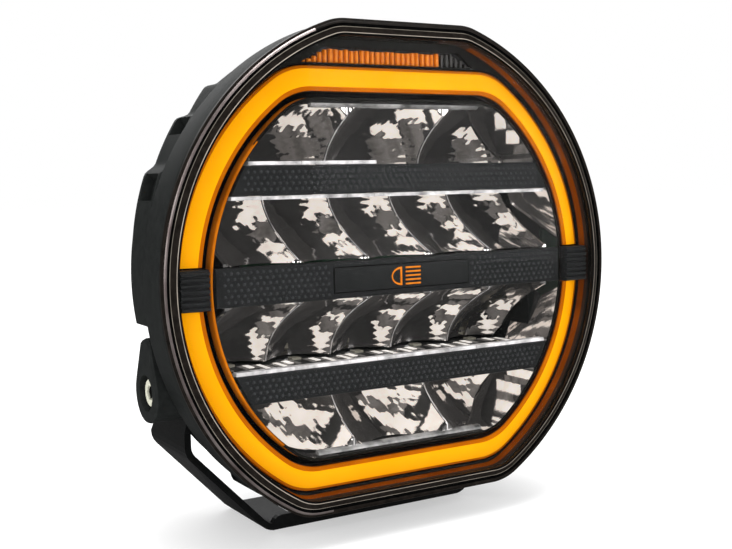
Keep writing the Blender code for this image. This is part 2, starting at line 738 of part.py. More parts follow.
def sheet_path(offset, bends=3):
    """Half of the bent sheet, from the eye's side down to the middle of the base, offset inwards."""
    slope = math.radians(45.0)
    shift = offset * math.tan(slope / 2)
    base_z = -CENTRE_HEIGHT + offset
    arm_x = ARM_OUTER - offset
    elbow = (arm_x, ELBOW_Z + shift)
    corner = (BASE_HALF - shift, base_z)
    radius = 9.0 - offset
    points = [(arm_x, -30.0)]
    for (px, pz), start in ((elbow, 0.0), (corner, -45.0)):
        cut = radius * math.tan(slope / 2)
        begin = math.radians(start)
        centre = (
            px - cut * math.sin(begin) - radius * math.cos(begin),
            pz + cut * math.cos(begin) - radius * math.sin(begin),
        )
        for i in range(bends + 1):
            angle = begin - slope * i / bends
            points.append((centre[0] + radius * math.cos(angle), centre[1] + radius * math.sin(angle)))
    return points


def build_bracket():
    """A U of bent steel plate with sloped shoulders, an upturned front lip and slots in its base."""
    outer = sheet_path(0.0)
    inner = sheet_path(STEEL)
    section = outer + [(-x, z) for x, z in reversed(outer)]
    section += [(-x, z) for x, z in inner] + list(reversed(inner))
    bracket = single("mounting_bracket", steel_black(), None, add_prism, section, 20.0, 90.0)
    bm = bmesh.new()
    profile = arm_outline()
    add_rows(bm, [[(x, d, z) for d, z in profile] for x in (-120.0, 120.0)])
    combine(bracket, [make("tool", bm, steel_black())], "INTERSECT")
    lip = []
    centre_x, centre_z = FLANGE_HALF - FLANGE_CORNER, FLANGE_TOP - FLANGE_CORNER
    for x, start in ((centre_x, 0.0), (-centre_x, 90.0)):
        for i in range(5):
            angle = math.radians(start + 22.5 * i)
            lip.append((x + FLANGE_CORNER * math.cos(angle), centre_z + FLANGE_CORNER * math.sin(angle)))
    lip = [(FLANGE_HALF, -CENTRE_HEIGHT)] + lip + [(-FLANGE_HALF, -CENTRE_HEIGHT)]
    combine(bracket, [tool(add_prism, lip, BRACKET_FRONT, BRACKET_FRONT + STEEL)], "UNION")
    cuts = []
    for side in (-1, 1):
        cuts.append(tool(add_rod_along_x, side * 85.0, side * 97.0, BOLT_RADIUS + 0.5, PIVOT_DEPTH, PIVOT_Z))
    middle = (BRACKET_FRONT + BRACKET_BACK) / 2
    cuts.append(tool(add_upright_slot, 0.0, middle, BASE_HOLE_RADIUS, 0.0))
    cuts.append(tool(add_upright_slot, -SLOT_X, middle, SLOT_RADIUS, SLOT_HALF_LENGTH))
    cuts.append(tool(add_upright_slot, SLOT_X, middle, SLOT_RADIUS, SLOT_HALF_LENGTH))
    combine(bracket, cuts, "DIFFERENCE")


def add_upright_slot(bm, x, depth, radius, half_length):
    """A slot-shaped cutter through the base, long from front to back."""
    outline = []
    for i in range(24):
        angle = 2 * math.pi * (i + 0.5) / 24
        shift = half_length if math.sin(angle) > 0 else -half_length
        outline.append((x + radius * math.cos(angle), depth + shift + radius * math.sin(angle)))
    heights = (-CENTRE_HEIGHT - 3.0, -CENTRE_HEIGHT + STEEL + 3.0)
    add_rows(bm, [[(a, b, z) for a, b in outline] for z in heights])


def block_outline():
    """The pivot block from the side: round below, drawn up to a blunt tip."""
    points = []
    for i in range(17):
        angle = math.radians(155.0 + 230.0 * i / 16)
        ahead, up = EYE_RADIUS * math.cos(angle), EYE_RADIUS * math.sin(angle)
        points.append((PIVOT_DEPTH + 0.2 + ahead, PIVOT_Z + up))
    for ahead, up in ((4.4, 1.2), (0.0, 2.6), (-5.0, 1.2)):
        points.append((PIVOT_DEPTH + ahead, BLOCK_TIP_Z + up))
    return points


def build_pivots(lamp):
    """On each side: a block outside the arm, its screw and washer, a spacer inside, and an insert."""
    for name, side in (("left", -1), ("right", 1)):
        bm = bmesh.new()
        face = block_outline()
        middle_d, middle_z = PIVOT_DEPTH, PIVOT_Z - 1.0
        chamfered = [
            (middle_d + (d - middle_d) * 0.93, middle_z + (z - middle_z) * 0.95) for d, z in face
        ]
        rows = [[(side * x, d, z) for d, z in row] for x, row in (
            (ARM_OUTER + GAP, face), (BLOCK_OUTER - 1.0, face), (BLOCK_OUTER, chamfered))]
        add_rows(bm, rows)
        block = make(f"pivot_block_{name}", bm, cast_black())
        cuts = [
            tool(add_rod_along_x, side * COUNTERBORE_FLOOR, side * (BLOCK_OUTER + 3.0), COUNTERBORE_RADIUS,
                 PIVOT_DEPTH, PIVOT_Z),
            tool(add_rod_along_x, side * 88.0, side * 100.0, BOLT_RADIUS + 0.5, PIVOT_DEPTH, PIVOT_Z),
        ]
        combine(block, cuts, "DIFFERENCE")

        head_floor = COUNTERBORE_FLOOR + 2.2
        single(f"pivot_washer_{name}", bare_steel(), None, add_tube_along_x, side * (COUNTERBORE_FLOOR + GAP),
               side * (head_floor - GAP), 7.3, BOLT_RADIUS + 0.4, PIVOT_DEPTH, PIVOT_Z)

        head_face = BLOCK_OUTER - 1.9
        bm = bmesh.new()
        stations = (
            (BOSS_INNER + 2.2, BOLT_RADIUS - 0.7), (BOSS_INNER + 3.2, BOLT_RADIUS), (head_floor, BOLT_RADIUS),
            (head_floor, BOLT_HEAD_RADIUS), (head_face - 0.8, BOLT_HEAD_RADIUS),
            (head_face, BOLT_HEAD_RADIUS - 0.8),
        )
        rows = [
            [(side * x, a, b) for a, b in round_outline(radius, 24, PIVOT_DEPTH, PIVOT_Z)]
            for x, radius in stations
        ]
        add_rows(bm, rows)
        bolt = make(f"pivot_bolt_{name}", bm, bare_steel())
        bm = bmesh.new()
        add_rod_along_x(bm, side * (head_face - 4.5), side * (head_face + 2.0), 3.45, PIVOT_DEPTH, PIVOT_Z, 6)
        combine(bolt, [make("tool", bm, bare_steel())], "DIFFERENCE")

        single(f"pivot_spacer_{name}", nylon(), lamp, add_tube_along_x, side * (SIDE_FLAT + GAP),
               side * (ARM_OUTER - STEEL - GAP), 11.5, BOLT_RADIUS + 0.6, PIVOT_DEPTH, PIVOT_Z)
        single(f"threaded_insert_{name}", bare_steel(), lamp, add_tube_along_x, side * (BOSS_INNER + 1.8),
               side * (SIDE_FLAT - 0.4), INSERT_RADIUS, BOLT_RADIUS + GAP, PIVOT_DEPTH, PIVOT_Z)


# ---------------------------------------------------------------- assembly

def main():
    for old in list(bpy.data.objects):
        bpy.data.objects.remove(old)
    lamp = bpy.data.objects.new("lamp_tilt", None)
    lamp.location = Vector((0, PIVOT_DEPTH - MIDDLE_DEPTH, CENTRE_HEIGHT + PIVOT_Z)) * MM
    bpy.context.scene.collection.objects.link(lamp)
    bpy.context.view_layer.update()
    build_bracket()
    build_pivots(lamp)
    build_housing(lamp)
    build_rear_fittings(lamp)
    build_lens(lamp)
    build_bezels(lamp)
    build_warning_light(lamp)
    build_ring(lamp)
    build_bars(lamp)
    build_optics(lamp)
    build_driver(lamp)


main()
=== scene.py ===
"""Looks for a nine-inch auxiliary driving lamp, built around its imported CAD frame.

Shapes are drawn in the lamp's own frame, in millimetres: x to the side, d behind the rim's front, z above
the rim's centre. Each piece's mesh is in the row frame, in metres.
"""

import math

import bmesh
import bpy
from mathutils import Matrix, Vector


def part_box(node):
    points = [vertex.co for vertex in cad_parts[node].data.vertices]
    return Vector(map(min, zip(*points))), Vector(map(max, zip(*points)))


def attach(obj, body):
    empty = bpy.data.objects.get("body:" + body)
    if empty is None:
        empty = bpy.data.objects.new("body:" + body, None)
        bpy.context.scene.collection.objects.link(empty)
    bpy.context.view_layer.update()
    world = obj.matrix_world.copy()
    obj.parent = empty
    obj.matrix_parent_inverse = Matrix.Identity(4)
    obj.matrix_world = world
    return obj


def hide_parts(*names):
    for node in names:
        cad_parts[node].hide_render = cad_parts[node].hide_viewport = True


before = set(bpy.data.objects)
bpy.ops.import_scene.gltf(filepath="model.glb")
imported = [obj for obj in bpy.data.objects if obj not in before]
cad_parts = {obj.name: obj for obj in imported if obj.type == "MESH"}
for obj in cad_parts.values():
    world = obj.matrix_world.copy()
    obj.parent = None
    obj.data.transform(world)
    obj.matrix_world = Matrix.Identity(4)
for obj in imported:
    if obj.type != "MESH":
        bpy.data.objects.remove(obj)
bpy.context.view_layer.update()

MM = 0.001

# Sizes of the lamp's front, as the CAD has them
RIM_RADIUS, RIM_TOP, RIM_BOTTOM, RIM_CORNER = 114.0, 109.0, 101.0, 26.0
FRONT_DEPTH = -1.0
OPTICS_Z = -1.0
RING_CORNER = 26.0
RING_CUT = 8.9
SHROUD_INNER, SHROUD_INNER_FLAT, SHROUD_CORNER = 90.2, 76.0, 24.0
BAR_FRONT, BAR_BACK, CENTRE_BAR_HALF = 4.2, 7.2, 8.0
SIDE_BAR_LOW, SIDE_BAR_HIGH = 36.9, 49.2
BADGE_HALF_WIDTH, BADGE_HALF_HEIGHT = 35.0, 5.2
BOWL_APEX, BOWL_FOCUS, BOWL_FRONT = 53.0, 6.5, 7.8
BOWL_START, BOWL_REACH = 1.3, 84.4
WIDE_PITCH, NARROW_PITCH = 50.0, 33.4
BOARD_FACE_OUTER, BOARD_FACE_INNER = 46.3, 39.7
CHIP_HALF, CHIP_HEIGHT = 2.3, 1.0
SIDE_FLAT, SIDE_FLAT_TOP = 87.6, -18.0
PIVOT_DEPTH, PIVOT_Z = 41.0, -47.0
FIN_COUNT, FIN_PITCH = 11, 13.0
# Angle above the horizontal in degrees, and the radius of the body behind the band
LOBES = (
    (-62.0, 110.0), (-61.0, 113.6), (-53.0, 113.6), (-52.0, 110.0), (-9.6, 110.4), (10.0, 111.0),
    (24.6, 113.0), (26.0, 110.0), (38.6, 112.3), (40.0, 108.6), (48.6, 111.8), (50.0, 109.0),
)
LOBE_BASE = 108.0
# Angles between which a pocket is sunk between two lobes
POCKETS = ((18.5, 23.4), (34.0, 38.0))
POCKET_DEPTH = 4.5
# Radius and height of the holes in the housing's back for the cable gland and the breather vent
BACK_HOLES = ((8.3, -60.0), (5.3, -30.0))
INSERT_BORE = 6.0
SOCKET_RADIUS, SOCKET_REACH = 3.1, (101.4, 104.9)
FIN_REACH, FIN_TOP_GAP = 84.0, 3.0
# Fins this near the middle stop above the vent
SHORT_FIN_X, SHORT_FIN_LOW = 20.0, -16.0
# A fin's depth, half thickness and how far its ends are drawn in, from foot to tip
FIN_SECTIONS = ((78.05, 1.8, 0.0), (80.0, 1.3, 0.6), (88.6, 1.0, 2.4), (89.6, 0.7, 4.0), (90.0, 0.3, 4.8))

# Facets of the bowls, and the lip beside a side bar, drawn bright as a painted highlight, as the lean of each
# of its lengths
FACET_WIDTH, FACET_HEIGHT, FACET_SHARE, FACET_SCATTER = 2.2, 3.0, 0.75, 0.15
RIDGE_FLAT = 0.4
BOWL_SHELL = 1.4
BOWL_GRID = 0.6
STRIP_HEIGHT = 1.5
STRIP_LEANS = (0.05, 0.2, 0.0, 0.35, 0.1, -0.05, 0.3, 0.1, 0.5, 0.0, 0.25, 0.6)
STRIP_LENGTHS_ROW_1 = 5

# Fineness of the curves
ARC_STEPS = 40
CORNER_STEPS = 14
FLAT_STEPS = 8
HOUSING_STEPS = 480
BORE_STEPS = 48
CUT_SHARP_ANGLE = 30.0

# The camera, fitted to the rim, the ring, the bars and the bracket: its place is in millimetres from the
# rim's centre, its angles are in degrees
CAMERA_PLACE = (-262.66, -401.70, 43.30)
CAMERA_YAW, CAMERA_PITCH, CAMERA_ROLL = 30.94, 5.148, -1.086
CAMERA_LENS, CAMERA_SENSOR = 53.95, 36.0
AIM = (0.0, 0.0, 0.11)
# Softboxes: place, width, height, power
SOFTBOXES = (
    ("key_left", (-1.25, -0.45, 0.55), 0.55, 0.9, 5.0),
    ("top", (0.1, -0.2, 1.5), 1.2, 0.7, 16.0),
    ("right", (0.85, -1.25, 0.35), 0.45, 0.9, 6.0),
    ("back", (0.3, 1.5, 0.9), 1.4, 0.8, 8.0),
)
FLOOR_REACH = 6
WHITE = (1.0, 1.0, 1.0, 1.0)
FLOOR_IN_MIRRORS = (0.08, 0.08, 0.08, 1.0)
ROOM_IN_MIRRORS = (0.035, 0.035, 0.037, 1.0)

lens_low, lens_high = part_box("outer_lens")
RIM_CENTRE = Vector((
    (lens_low.x + lens_high.x) / 2,
    lens_low.y - FRONT_DEPTH * MM,
    lens_high.z - RIM_TOP * MM,
))


# ---------------------------------------------------------------- outlines

def upper_half(radius, flat, corner, cut=0.0):
    """Points over the top, from the right end at height cut to the left one: arc, corner, flat, mirrored."""
    corner_z = flat - corner
    corner_x = math.sqrt((radius - corner) ** 2 - corner_z ** 2)
    meet = math.atan2(corner_z, corner_x)
    start = math.asin(cut / radius)
    right = []
    for i in range(ARC_STEPS + 1):
        angle = start + (meet - start) * i / ARC_STEPS
        right.append((radius * math.cos(angle), radius * math.sin(angle)))
    for i in range(1, CORNER_STEPS + 1):
        angle = meet + (math.pi / 2 - meet) * i / CORNER_STEPS
        right.append((corner_x + corner * math.cos(angle), corner_z + corner * math.sin(angle)))
    end_x = right[-1][0]
    right += [(end_x * (1 - i / FLAT_STEPS), flat) for i in range(1, FLAT_STEPS)]
    return right + [(0.0, flat)] + [(-x, z) for x, z in reversed(right)]


def full_outline(radius, top, bottom, corner, middle=0.0):
    """A circle cut flat at the top and bottom, with rounded corners, around the height middle."""
    over = upper_half(radius, top, corner)
    under = [(x, -z) for x, z in reversed(upper_half(radius, bottom, corner))]
    return [(x, z + middle) for x, z in over + under[1:-1]]


def rim(inset):
    """The rim's outline, drawn in by inset."""
    return full_outline(RIM_RADIUS - inset, RIM_TOP - inset, RIM_BOTTOM - inset, RIM_CORNER - inset)


def optics(radius, flat, corner=RING_CORNER):
    """An outline of the ring's family, which sits a little below the rim's centre."""
    return full_outline(radius, flat, flat, corner, OPTICS_Z)


def circle(radius, steps, cx=0.0, cz=0.0, turn=0.0):
    return [
        (cx + radius * math.cos(turn + 2 * math.pi * i / steps),
         cz + radius * math.sin(turn + 2 * math.pi * i / steps))
        for i in range(steps)
    ]


def at_depth(outline, depth):
    return [(x, depth, z) for x, z in outline]


def shroud_half_width(z, clearance=0.7):
    """Half the width inside the inner mask at a height above the optics' centre."""
    radius = SHROUD_INNER - clearance
    corner = SHROUD_CORNER - 1.4 - clearance
    corner_z = SHROUD_INNER_FLAT - clearance - corner
    corner_x = math.sqrt((radius - corner) ** 2 - corner_z ** 2)
    if abs(z) <= corner_z * radius / (radius - corner):
        return min(math.sqrt(radius ** 2 - z ** 2), BOWL_REACH)
    return corner_x + math.sqrt(max(corner ** 2 - (abs(z) - corner_z) ** 2, 0.0))


def scatter(a, b):
    """A fixed offset between -1 and 1 for each pair of numbers."""
    value = math.sin(a * 12.9898 + b * 78.233) * 43758.5453
    return 2 * (value - math.floor(value)) - 1


# ---------------------------------------------------------------- mesh building

class Shape:
    """Collects closed bodies in the lamp's frame, each face with the number of its finish."""

    def __init__(self):
        self.points = []
        self.faces = []
        self.finish = []

    def add_points(self, points):
        first = len(self.points)
        self.points += [Vector(p) for p in points]
        return range(first, len(self.points))

    def add_face(self, face, finish):
        self.faces.append(tuple(face))
        self.finish.append(finish)

    def rows(self, rows, loop_rows=False, loop_points=True, finish=0, finishes=None):
        """Skins rows of points and caps open ends. finishes may give one for each band, or how to pick it."""
        made = [self.add_points(row) for row in rows]
        pairs = list(zip(made, made[1:]))
        if loop_rows:
            pairs.append((made[-1], made[0]))
        count = len(made[0])
        for band, (low, high) in enumerate(pairs):
            use = finishes[band] if finishes else finish
            for i in range(count if loop_points else count - 1):
                j = (i + 1) % count
                one = use(self.points[low[i]]) if callable(use) else use
                self.add_face((low[i], low[j], high[j], high[i]), one)
        if not loop_rows:
            self.add_face(made[0], finish)
            self.add_face(made[-1], finish)
        if loop_rows and not loop_points:
            self.add_face([row[0] for row in made], finish)
            self.add_face([row[-1] for row in made], finish)

    def prism(self, outline, d0, d1, finish=0):
        self.rows([at_depth(outline, d0), at_depth(outline, d1)], finish=finish)

    def box(self, x0, x1, d0, d1, z0, z1, finish=0):
        self.prism([(x0, z0), (x1, z0), (x1, z1), (x0, z1)], d0, d1, finish)

    def sheet(self, front, back, finish=0):
        """A closed sheet between two grids of points."""
        top = [self.add_points(line) for line in front]
        low = [self.add_points(line) for line in back]
        rows, columns = len(top), len(top[0])
        for grid in (top, low):
            for j in range(rows - 1):
                for i in range(columns - 1):
                    self.add_face((grid[j][i], grid[j][i + 1], grid[j + 1][i + 1], grid[j + 1][i]), finish)
        border = [(0, i) for i in range(columns)] + [(j, columns - 1) for j in range(1, rows)]
        border += [(rows - 1, i) for i in range(columns - 2, -1, -1)]
        border += [(j, 0) for j in range(rows - 2, 0, -1)]
        for (j, i), (n, m) in zip(border, border[1:] + border[:1]):
            self.add_face((top[j][i], top[n][m], low[n][m], low[j][i]), finish)

    def build(self, name, finishes=()):
        """An object of this shape, with every face turned outwards."""
        mesh = bpy.data.meshes.new(name)
        mesh.from_pydata([tuple(RIM_CENTRE + p * MM) for p in self.points], [], self.faces)
        for one in finishes:
            mesh.materials.append(one)
        mesh.polygons.foreach_set("material_index", self.finish)
        bm = bmesh.new()
        bm.from_mesh(mesh)
        bmesh.ops.recalc_face_normals(bm, faces=bm.faces)
        bm.to_mesh(mesh)
        bm.free()
        made = bpy.data.objects.new(name, mesh)
        bpy.context.scene.collection.objects.link(made)
        return made

    def done(self, name, finishes, stands_for=(), body="lamp", sharp=32.0, cutters=()):
        """The finished piece, riding on its body and standing for the CAD nodes it is built over."""
        made = self.build(name, finishes)
        made.data.shade_smooth()
        made.data.set_sharp_from_angle(angle=math.radians(sharp))
        for cutter in cutters:
            cut(made, cutter)
        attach(made, body)
        if stands_for:
            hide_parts(*stands_for)
        return made


def cut(made, cutter):
    """Cuts one object out of another, which keeps its own finishes, and removes the cutter."""
    step = made.modifiers.new("cut", "BOOLEAN")
    step.operation = "DIFFERENCE"
    step.object = cutter
    bpy.context.view_layer.update()
    graph = bpy.context.evaluated_depsgraph_get()
    mesh = bpy.data.meshes.new_from_object(made.evaluated_get(graph))
    made.modifiers.clear()
    made.data = mesh
    bpy.data.objects.remove(cutter)
    mesh.shade_smooth()
    mesh.set_sharp_from_angle(angle=math.radians(CUT_SHARP_ANGLE))


def add_bevel(made, width):
    step = made.modifiers.new("soft_edges", "BEVEL")
    step.width = width * MM
    step.segments = 2
    step.limit_method = "ANGLE"
    step.angle_limit = math.radians(40)
    step.harden_normals = True


# ---------------------------------------------------------------- finishes

def finish(name, dark, light, roughness, metallic=0.0, scale=350.0, bump=0.0, grain=1500.0, alpha=1.0,
           glow=0.0, spread=0.06, gloss=0.5):
    """A material whose colour and roughness drift over the surface, with a fine grain."""
    made = bpy.data.materials.new(name)
    made.use_nodes = True
    nodes, links = made.node_tree.nodes, made.node_tree.links
    shader = nodes["Principled BSDF"]
    place = nodes.new("ShaderNodeTexCoord")
    drift = nodes.new("ShaderNodeTexNoise")
    drift.inputs["Scale"].default_value = scale
    drift.inputs["Detail"].default_value = 4.0
    links.new(place.outputs["Object"], drift.inputs["Vector"])
    colour = nodes.new("ShaderNodeValToRGB")
    colour.color_ramp.elements[0].position = 0.32
    colour.color_ramp.elements[1].position = 0.68
    colour.color_ramp.elements[0].color = (*dark, 1.0)
    colour.color_ramp.elements[1].color = (*light, 1.0)
    links.new(drift.outputs["Fac"], colour.inputs["Fac"])
    links.new(colour.outputs["Color"], shader.inputs["Base Color"])
    rough = nodes.new("ShaderNodeMapRange")
    rough.inputs["To Min"].default_value = max(roughness - spread, 0.02)
    rough.inputs["To Max"].default_value = roughness + spread
    links.new(drift.outputs["Fac"], rough.inputs["Value"])
    links.new(rough.outputs["Result"], shader.inputs["Roughness"])
    shader.inputs["Metallic"].default_value = metallic
    shader.inputs["Alpha"].default_value = alpha
    shader.inputs["Specular IOR Level"].default_value = gloss
    if glow:
        links.new(colour.outputs["Color"], shader.inputs["Emission Color"])
        shader.inputs["Emission Strength"].default_value = glow
    if bump:
        fine = nodes.new("ShaderNodeTexNoise")
        fine.inputs["Scale"].default_value = grain
        fine.inputs["Detail"].default_value = 3.0
        links.new(place.outputs["Object"], fine.inputs["Vector"])
        relief = nodes.new("ShaderNodeBump")
        relief.inputs["Strength"].default_value = bump
        relief.inputs["Distance"].default_value = 0.0003
        links.new(fine.outputs["Fac"], relief.inputs["Height"])
        links.new(relief.outputs["Normal"], shader.inputs["Normal"])
    return made


cast_black = finish("cast_coating", (0.0135, 0.0150, 0.0145), (0.0185, 0.0205, 0.0198), 0.55, bump=0.35,
                    grain=1700.0, gloss=0.07)
steel_black = finish("powder_coating", (0.0035, 0.0038, 0.0038), (0.0060, 0.0066, 0.0066), 0.42, bump=0.25,
                     grain=2200.0, gloss=0.10)
bare_steel = finish("passivated_steel", (0.56, 0.53, 0.42), (0.76, 0.73, 0.60), 0.30, 1.0, bump=0.1)
bolt_cream = finish("zinc_yellow_steel", (0.58, 0.57, 0.45), (0.80, 0.80, 0.66), 0.35, scale=900.0,
                    gloss=0.6)
gloss_black = finish("gloss_mask", (0.006, 0.0056, 0.0045), (0.010, 0.0095, 0.008), 0.25, bump=0.05,
                     gloss=0.03)
amber_lit_wall = finish("amber_lit_wall", (0.40, 0.100, 0.002), (0.66, 0.185, 0.005), 0.3, scale=60.0,
                        gloss=0.0)
# A painted reflection of the amber ring on the black mask's wall
amber_painted_reflection = finish("amber_painted_reflection", (0.11, 0.023, 0.001), (0.21, 0.048, 0.002), 0.3, scale=60.0,
                      gloss=0.0)
# Brown painted light on the black mask's wall, and painted shade on the amber ring's inner wall and back
brown_wall_painted_light_and_shade = finish("brown_wall_painted_light_and_shade", (0.018, 0.011, 0.008), (0.036, 0.020, 0.013), 0.3, scale=60.0,
                        gloss=0.02)
groove_black = finish("groove_shade", (0.002, 0.002, 0.002), (0.005, 0.005, 0.005), 0.6, bump=0.2,
                      gloss=0.0)
clear_face = finish("clear_polycarbonate", (0.02, 0.02, 0.02), (0.03, 0.03, 0.03), 0.04, alpha=0.04,
                    spread=0.02, gloss=0.3)
smoked_edge = finish("lens_flange", (0.006, 0.005, 0.0042), (0.014, 0.011, 0.009), 0.3, bump=0.1,
                     gloss=0.05)
# Pale edge band: a painted highlight on the left-facing lens edge only
pink_edge_painted_highlight = finish("lens_edge_band_painted_highlight", (0.34, 0.27, 0.26), (0.62, 0.54, 0.52), 0.38, 1.0, scale=90.0,
                   bump=0.1)
faint_edge = finish("lens_step_line", (0.10, 0.09, 0.075), (0.26, 0.23, 0.19), 0.3, scale=90.0, gloss=0.1)
# Bright line: a painted highlight along the edge where the lens face meets its chamfer
bright_line_highlight = finish("lens_bright_line_painted_highlight", (0.20, 0.175, 0.15), (0.42, 0.37, 0.31), 0.3, scale=60.0,
                     gloss=0.1)
bar_grey = finish("bar_moulding", (0.0135, 0.0143, 0.0145), (0.0190, 0.0198, 0.0203), 0.5, bump=0.2,
                  grain=1200.0, gloss=0.11)
# The studs are drawn a lighter grey than the bar they are moulded on, a painted sheen for their glints
stud_grey_painted_sheen = finish("bar_studs_painted_sheen", (0.022, 0.0235, 0.025), (0.036, 0.038, 0.040), 0.36, gloss=0.35)
panel_grey = finish("badge_blank", (0.013, 0.014, 0.014), (0.018, 0.019, 0.019), 0.4, bump=0.1, gloss=0.10)
amber_face = finish("amber_diffuser", (0.92, 0.355, 0.0008), (0.96, 0.405, 0.003), 0.45, scale=25.0,
                    glow=0.30, gloss=0.0)
# The ring's chamfers and outer wall take this darker amber: painted shade
amber_edge_painted_shade = finish("amber_edges_painted_shade", (0.44, 0.100, 0.0005), (0.56, 0.140, 0.001), 0.34, scale=60.0, glow=0.06,
                    gloss=0.0)
orange_glass = finish("warning_lens", (0.60, 0.125, 0.003), (0.88, 0.27, 0.010), 0.25, scale=900.0,
                      glow=0.12, gloss=0.1)
orange_shade = finish("warning_lens_shade", (0.10, 0.018, 0.001), (0.30, 0.060, 0.003), 0.3, scale=900.0,
                      gloss=0.1)
dark_flute_glass = finish("warning_lens_end", (0.006, 0.005, 0.004), (0.035, 0.030, 0.024), 0.2, scale=900.0,
                     gloss=0.2)
# The symbol's paint glows a little: painted light, though it is no lamp
symbol_orange_painted_glow = finish("symbol_paint_painted_glow", (0.62, 0.165, 0.006), (0.74, 0.215, 0.010), 0.42, glow=0.05,
                       gloss=0.05)
# The reflectors' metallising glows faintly: painted light
chrome_painted_glow = finish("reflector_metallising_painted_glow", (0.80, 0.77, 0.75), (0.90, 0.87, 0.85), 0.05, 1.0, scale=120.0,
                bump=0.06, grain=500.0, glow=0.016, spread=0.03)
# Near-white lip and ridge lines: painted highlights standing in for the chrome's reflections
silver_lip_painted_highlight = finish("reflector_lip_painted_highlight", (0.30, 0.29, 0.29), (1.0, 0.97, 0.97), 0.2, scale=170.0, gloss=0.4,
                    bump=0.1)
silver_shade = finish("reflector_edge", (0.06, 0.06, 0.058), (0.42, 0.41, 0.40), 0.2, scale=130.0,
                      gloss=0.4, bump=0.1)
aluminium = finish("plain_aluminium", (0.50, 0.51, 0.52), (0.66, 0.67, 0.68), 0.38, 1.0, bump=0.15)
board_dark = finish("dark_light_board", (0.032, 0.033, 0.033), (0.075, 0.076, 0.076), 0.40, scale=140.0,
                    bump=0.05, gloss=0.3)
# Both pad finishes glow as painted light: the bright ones as painted highlights, the grey ones dimmer
pad_bright_painted_glow = finish("bright_pad_painted_glow", (0.82, 0.76, 0.70), (0.96, 0.92, 0.87), 0.30, scale=300.0, glow=0.85)
pad_grey_painted_glow = finish("grey_pad_painted_glow", (0.14, 0.132, 0.124), (0.38, 0.36, 0.345), 0.30, scale=260.0, glow=0.2)
chip_pale = finish("light_chip", (0.44, 0.42, 0.34), (0.62, 0.59, 0.48), 0.35, scale=900.0)
board_green = finish("circuit_board", (0.03, 0.12, 0.06), (0.06, 0.19, 0.10), 0.45, bump=0.1)
rubber = finish("seal_rubber", (0.008, 0.008, 0.008), (0.014, 0.014, 0.014), 0.78, bump=0.3, gloss=0.2)
nylon = finish("black_nylon", (0.010, 0.010, 0.0105), (0.016, 0.016, 0.0165), 0.52, bump=0.25, gloss=0.2)


# ---------------------------------------------------------------- lens and bezels

def build_lens():
    """The clear cover: its flange, with a groove and with an edge line and a bright line that are painted
    highlights, and its flat face.
    """
    shape = Shape()
    # How far in from the rim, and the depth, around the flange's section
    sections = (
        (0.5, 2.45), (0.0, 2.0), (0.0, 0.7), (0.3, 0.25), (1.05, 0.2), (1.5, -0.15), (2.1, -0.2), (2.2, 1.0),
        (3.3, 1.0), (3.4, 0.2), (3.65, 0.1), (5.9, -0.9), (6.2, -1.0), (7.1, -0.8), (7.1, 0.6), (4.6, 2.45),
    )

    def edge(point):
        """The edge line is pale on the lamp's left side only: a painted highlight where it faces the light.
        """
        return 1 if point.x < -42.0 else 0

    bands = [0, 0, 0, 0, edge, edge, 2, 2, 2, 3, 0, 4, 2, 0, 0, 0]
    shape.rows([at_depth(rim(i), d) for i, d in sections], loop_rows=True, finishes=bands)
    shape.done("lens_flange", [smoked_edge, pink_edge_painted_highlight, groove_black, faint_edge, bright_line_highlight],
               sharp=20.0)
    face = Shape()
    outline = rim(7.4)
    face.rows([at_depth(outline, -0.75), at_depth(outline, 0.6)])
    face.done("lens_face", [clear_face], ("outer_lens",))


def build_bezels():
    """The black mask around the ring, with a window for the warning light, and the mask inside the ring."""
    shape = Shape()
    rows = [
        at_depth(rim(2.7), 3.0), at_depth(rim(5.8), 3.0), at_depth(rim(6.3), 3.6), at_depth(rim(6.7), 5.4),
        at_depth(rim(7.5), 8.4),
        at_depth(rim(7.8), 8.7), at_depth(optics(105.6, 91.7), 8.8), at_depth(optics(105.2, 91.3), 9.1),
        at_depth(optics(105.2, 91.3), 16.0), at_depth(optics(107.0, 93.1), 16.0),
        at_depth(optics(107.0, 93.1), 10.6), at_depth(rim(5.5), 10.6), at_depth(rim(4.9), 4.8),
        at_depth(rim(2.7), 4.8),
    ]

    def lit(point):
        """The mask's wall has the ring's light painted on it, amber to the right and low down and brown a
        little right of the middle.
        """
        if point.x > 40.0 or point.z < -60.0:
            return 2
        return 1 if point.x > 22.0 else 0

    shape.rows(rows, loop_rows=True, finishes=[0, 0, 1, lit, 0, 0, 0, 0, 0, 0, 0, 0, 0, 0])
    window = Shape()
    window.prism([(-46.2, 91.1), (42.6, 91.1), (34.0, 97.8), (-35.4, 97.8)], 7.0, 15.0)
    shape.done("outer_mask", [gloss_black, brown_wall_painted_light_and_shade, amber_painted_reflection], ("outer_bezel",),
               cutters=[window.build("window")])

    shape = Shape()
    outer, outer_flat, inner, inner_flat = 91.6, 77.4, SHROUD_INNER, SHROUD_INNER_FLAT
    rows = [
        at_depth(optics(outer, outer_flat, SHROUD_CORNER), 5.3),
        at_depth(optics(outer, outer_flat, SHROUD_CORNER), 10.3),
        at_depth(optics(outer, outer_flat, SHROUD_CORNER), 36.0),
        at_depth(optics(inner, inner_flat, SHROUD_CORNER - 1.4), 36.0),
        at_depth(optics(inner, inner_flat, SHROUD_CORNER - 1.4), 5.3),
        at_depth(optics(inner + 0.4, inner_flat + 0.4, SHROUD_CORNER - 1.0), 4.9),
        at_depth(optics(outer - 0.4, outer_flat - 0.4, SHROUD_CORNER - 0.4), 4.9),
    ]

    def glow(point):
        """The inner mask's front edge takes the ring's light on the left."""
        return 0 if point.z > 58.0 or point.z < -68.0 or point.x > 20.0 else 1

    shape.rows(rows, loop_rows=True, finishes=[1, 0, 0, 2, 0, glow, glow])
    shape.done("inner_mask", [gloss_black, amber_lit_wall, chrome_painted_glow], ("inner_bezel",))


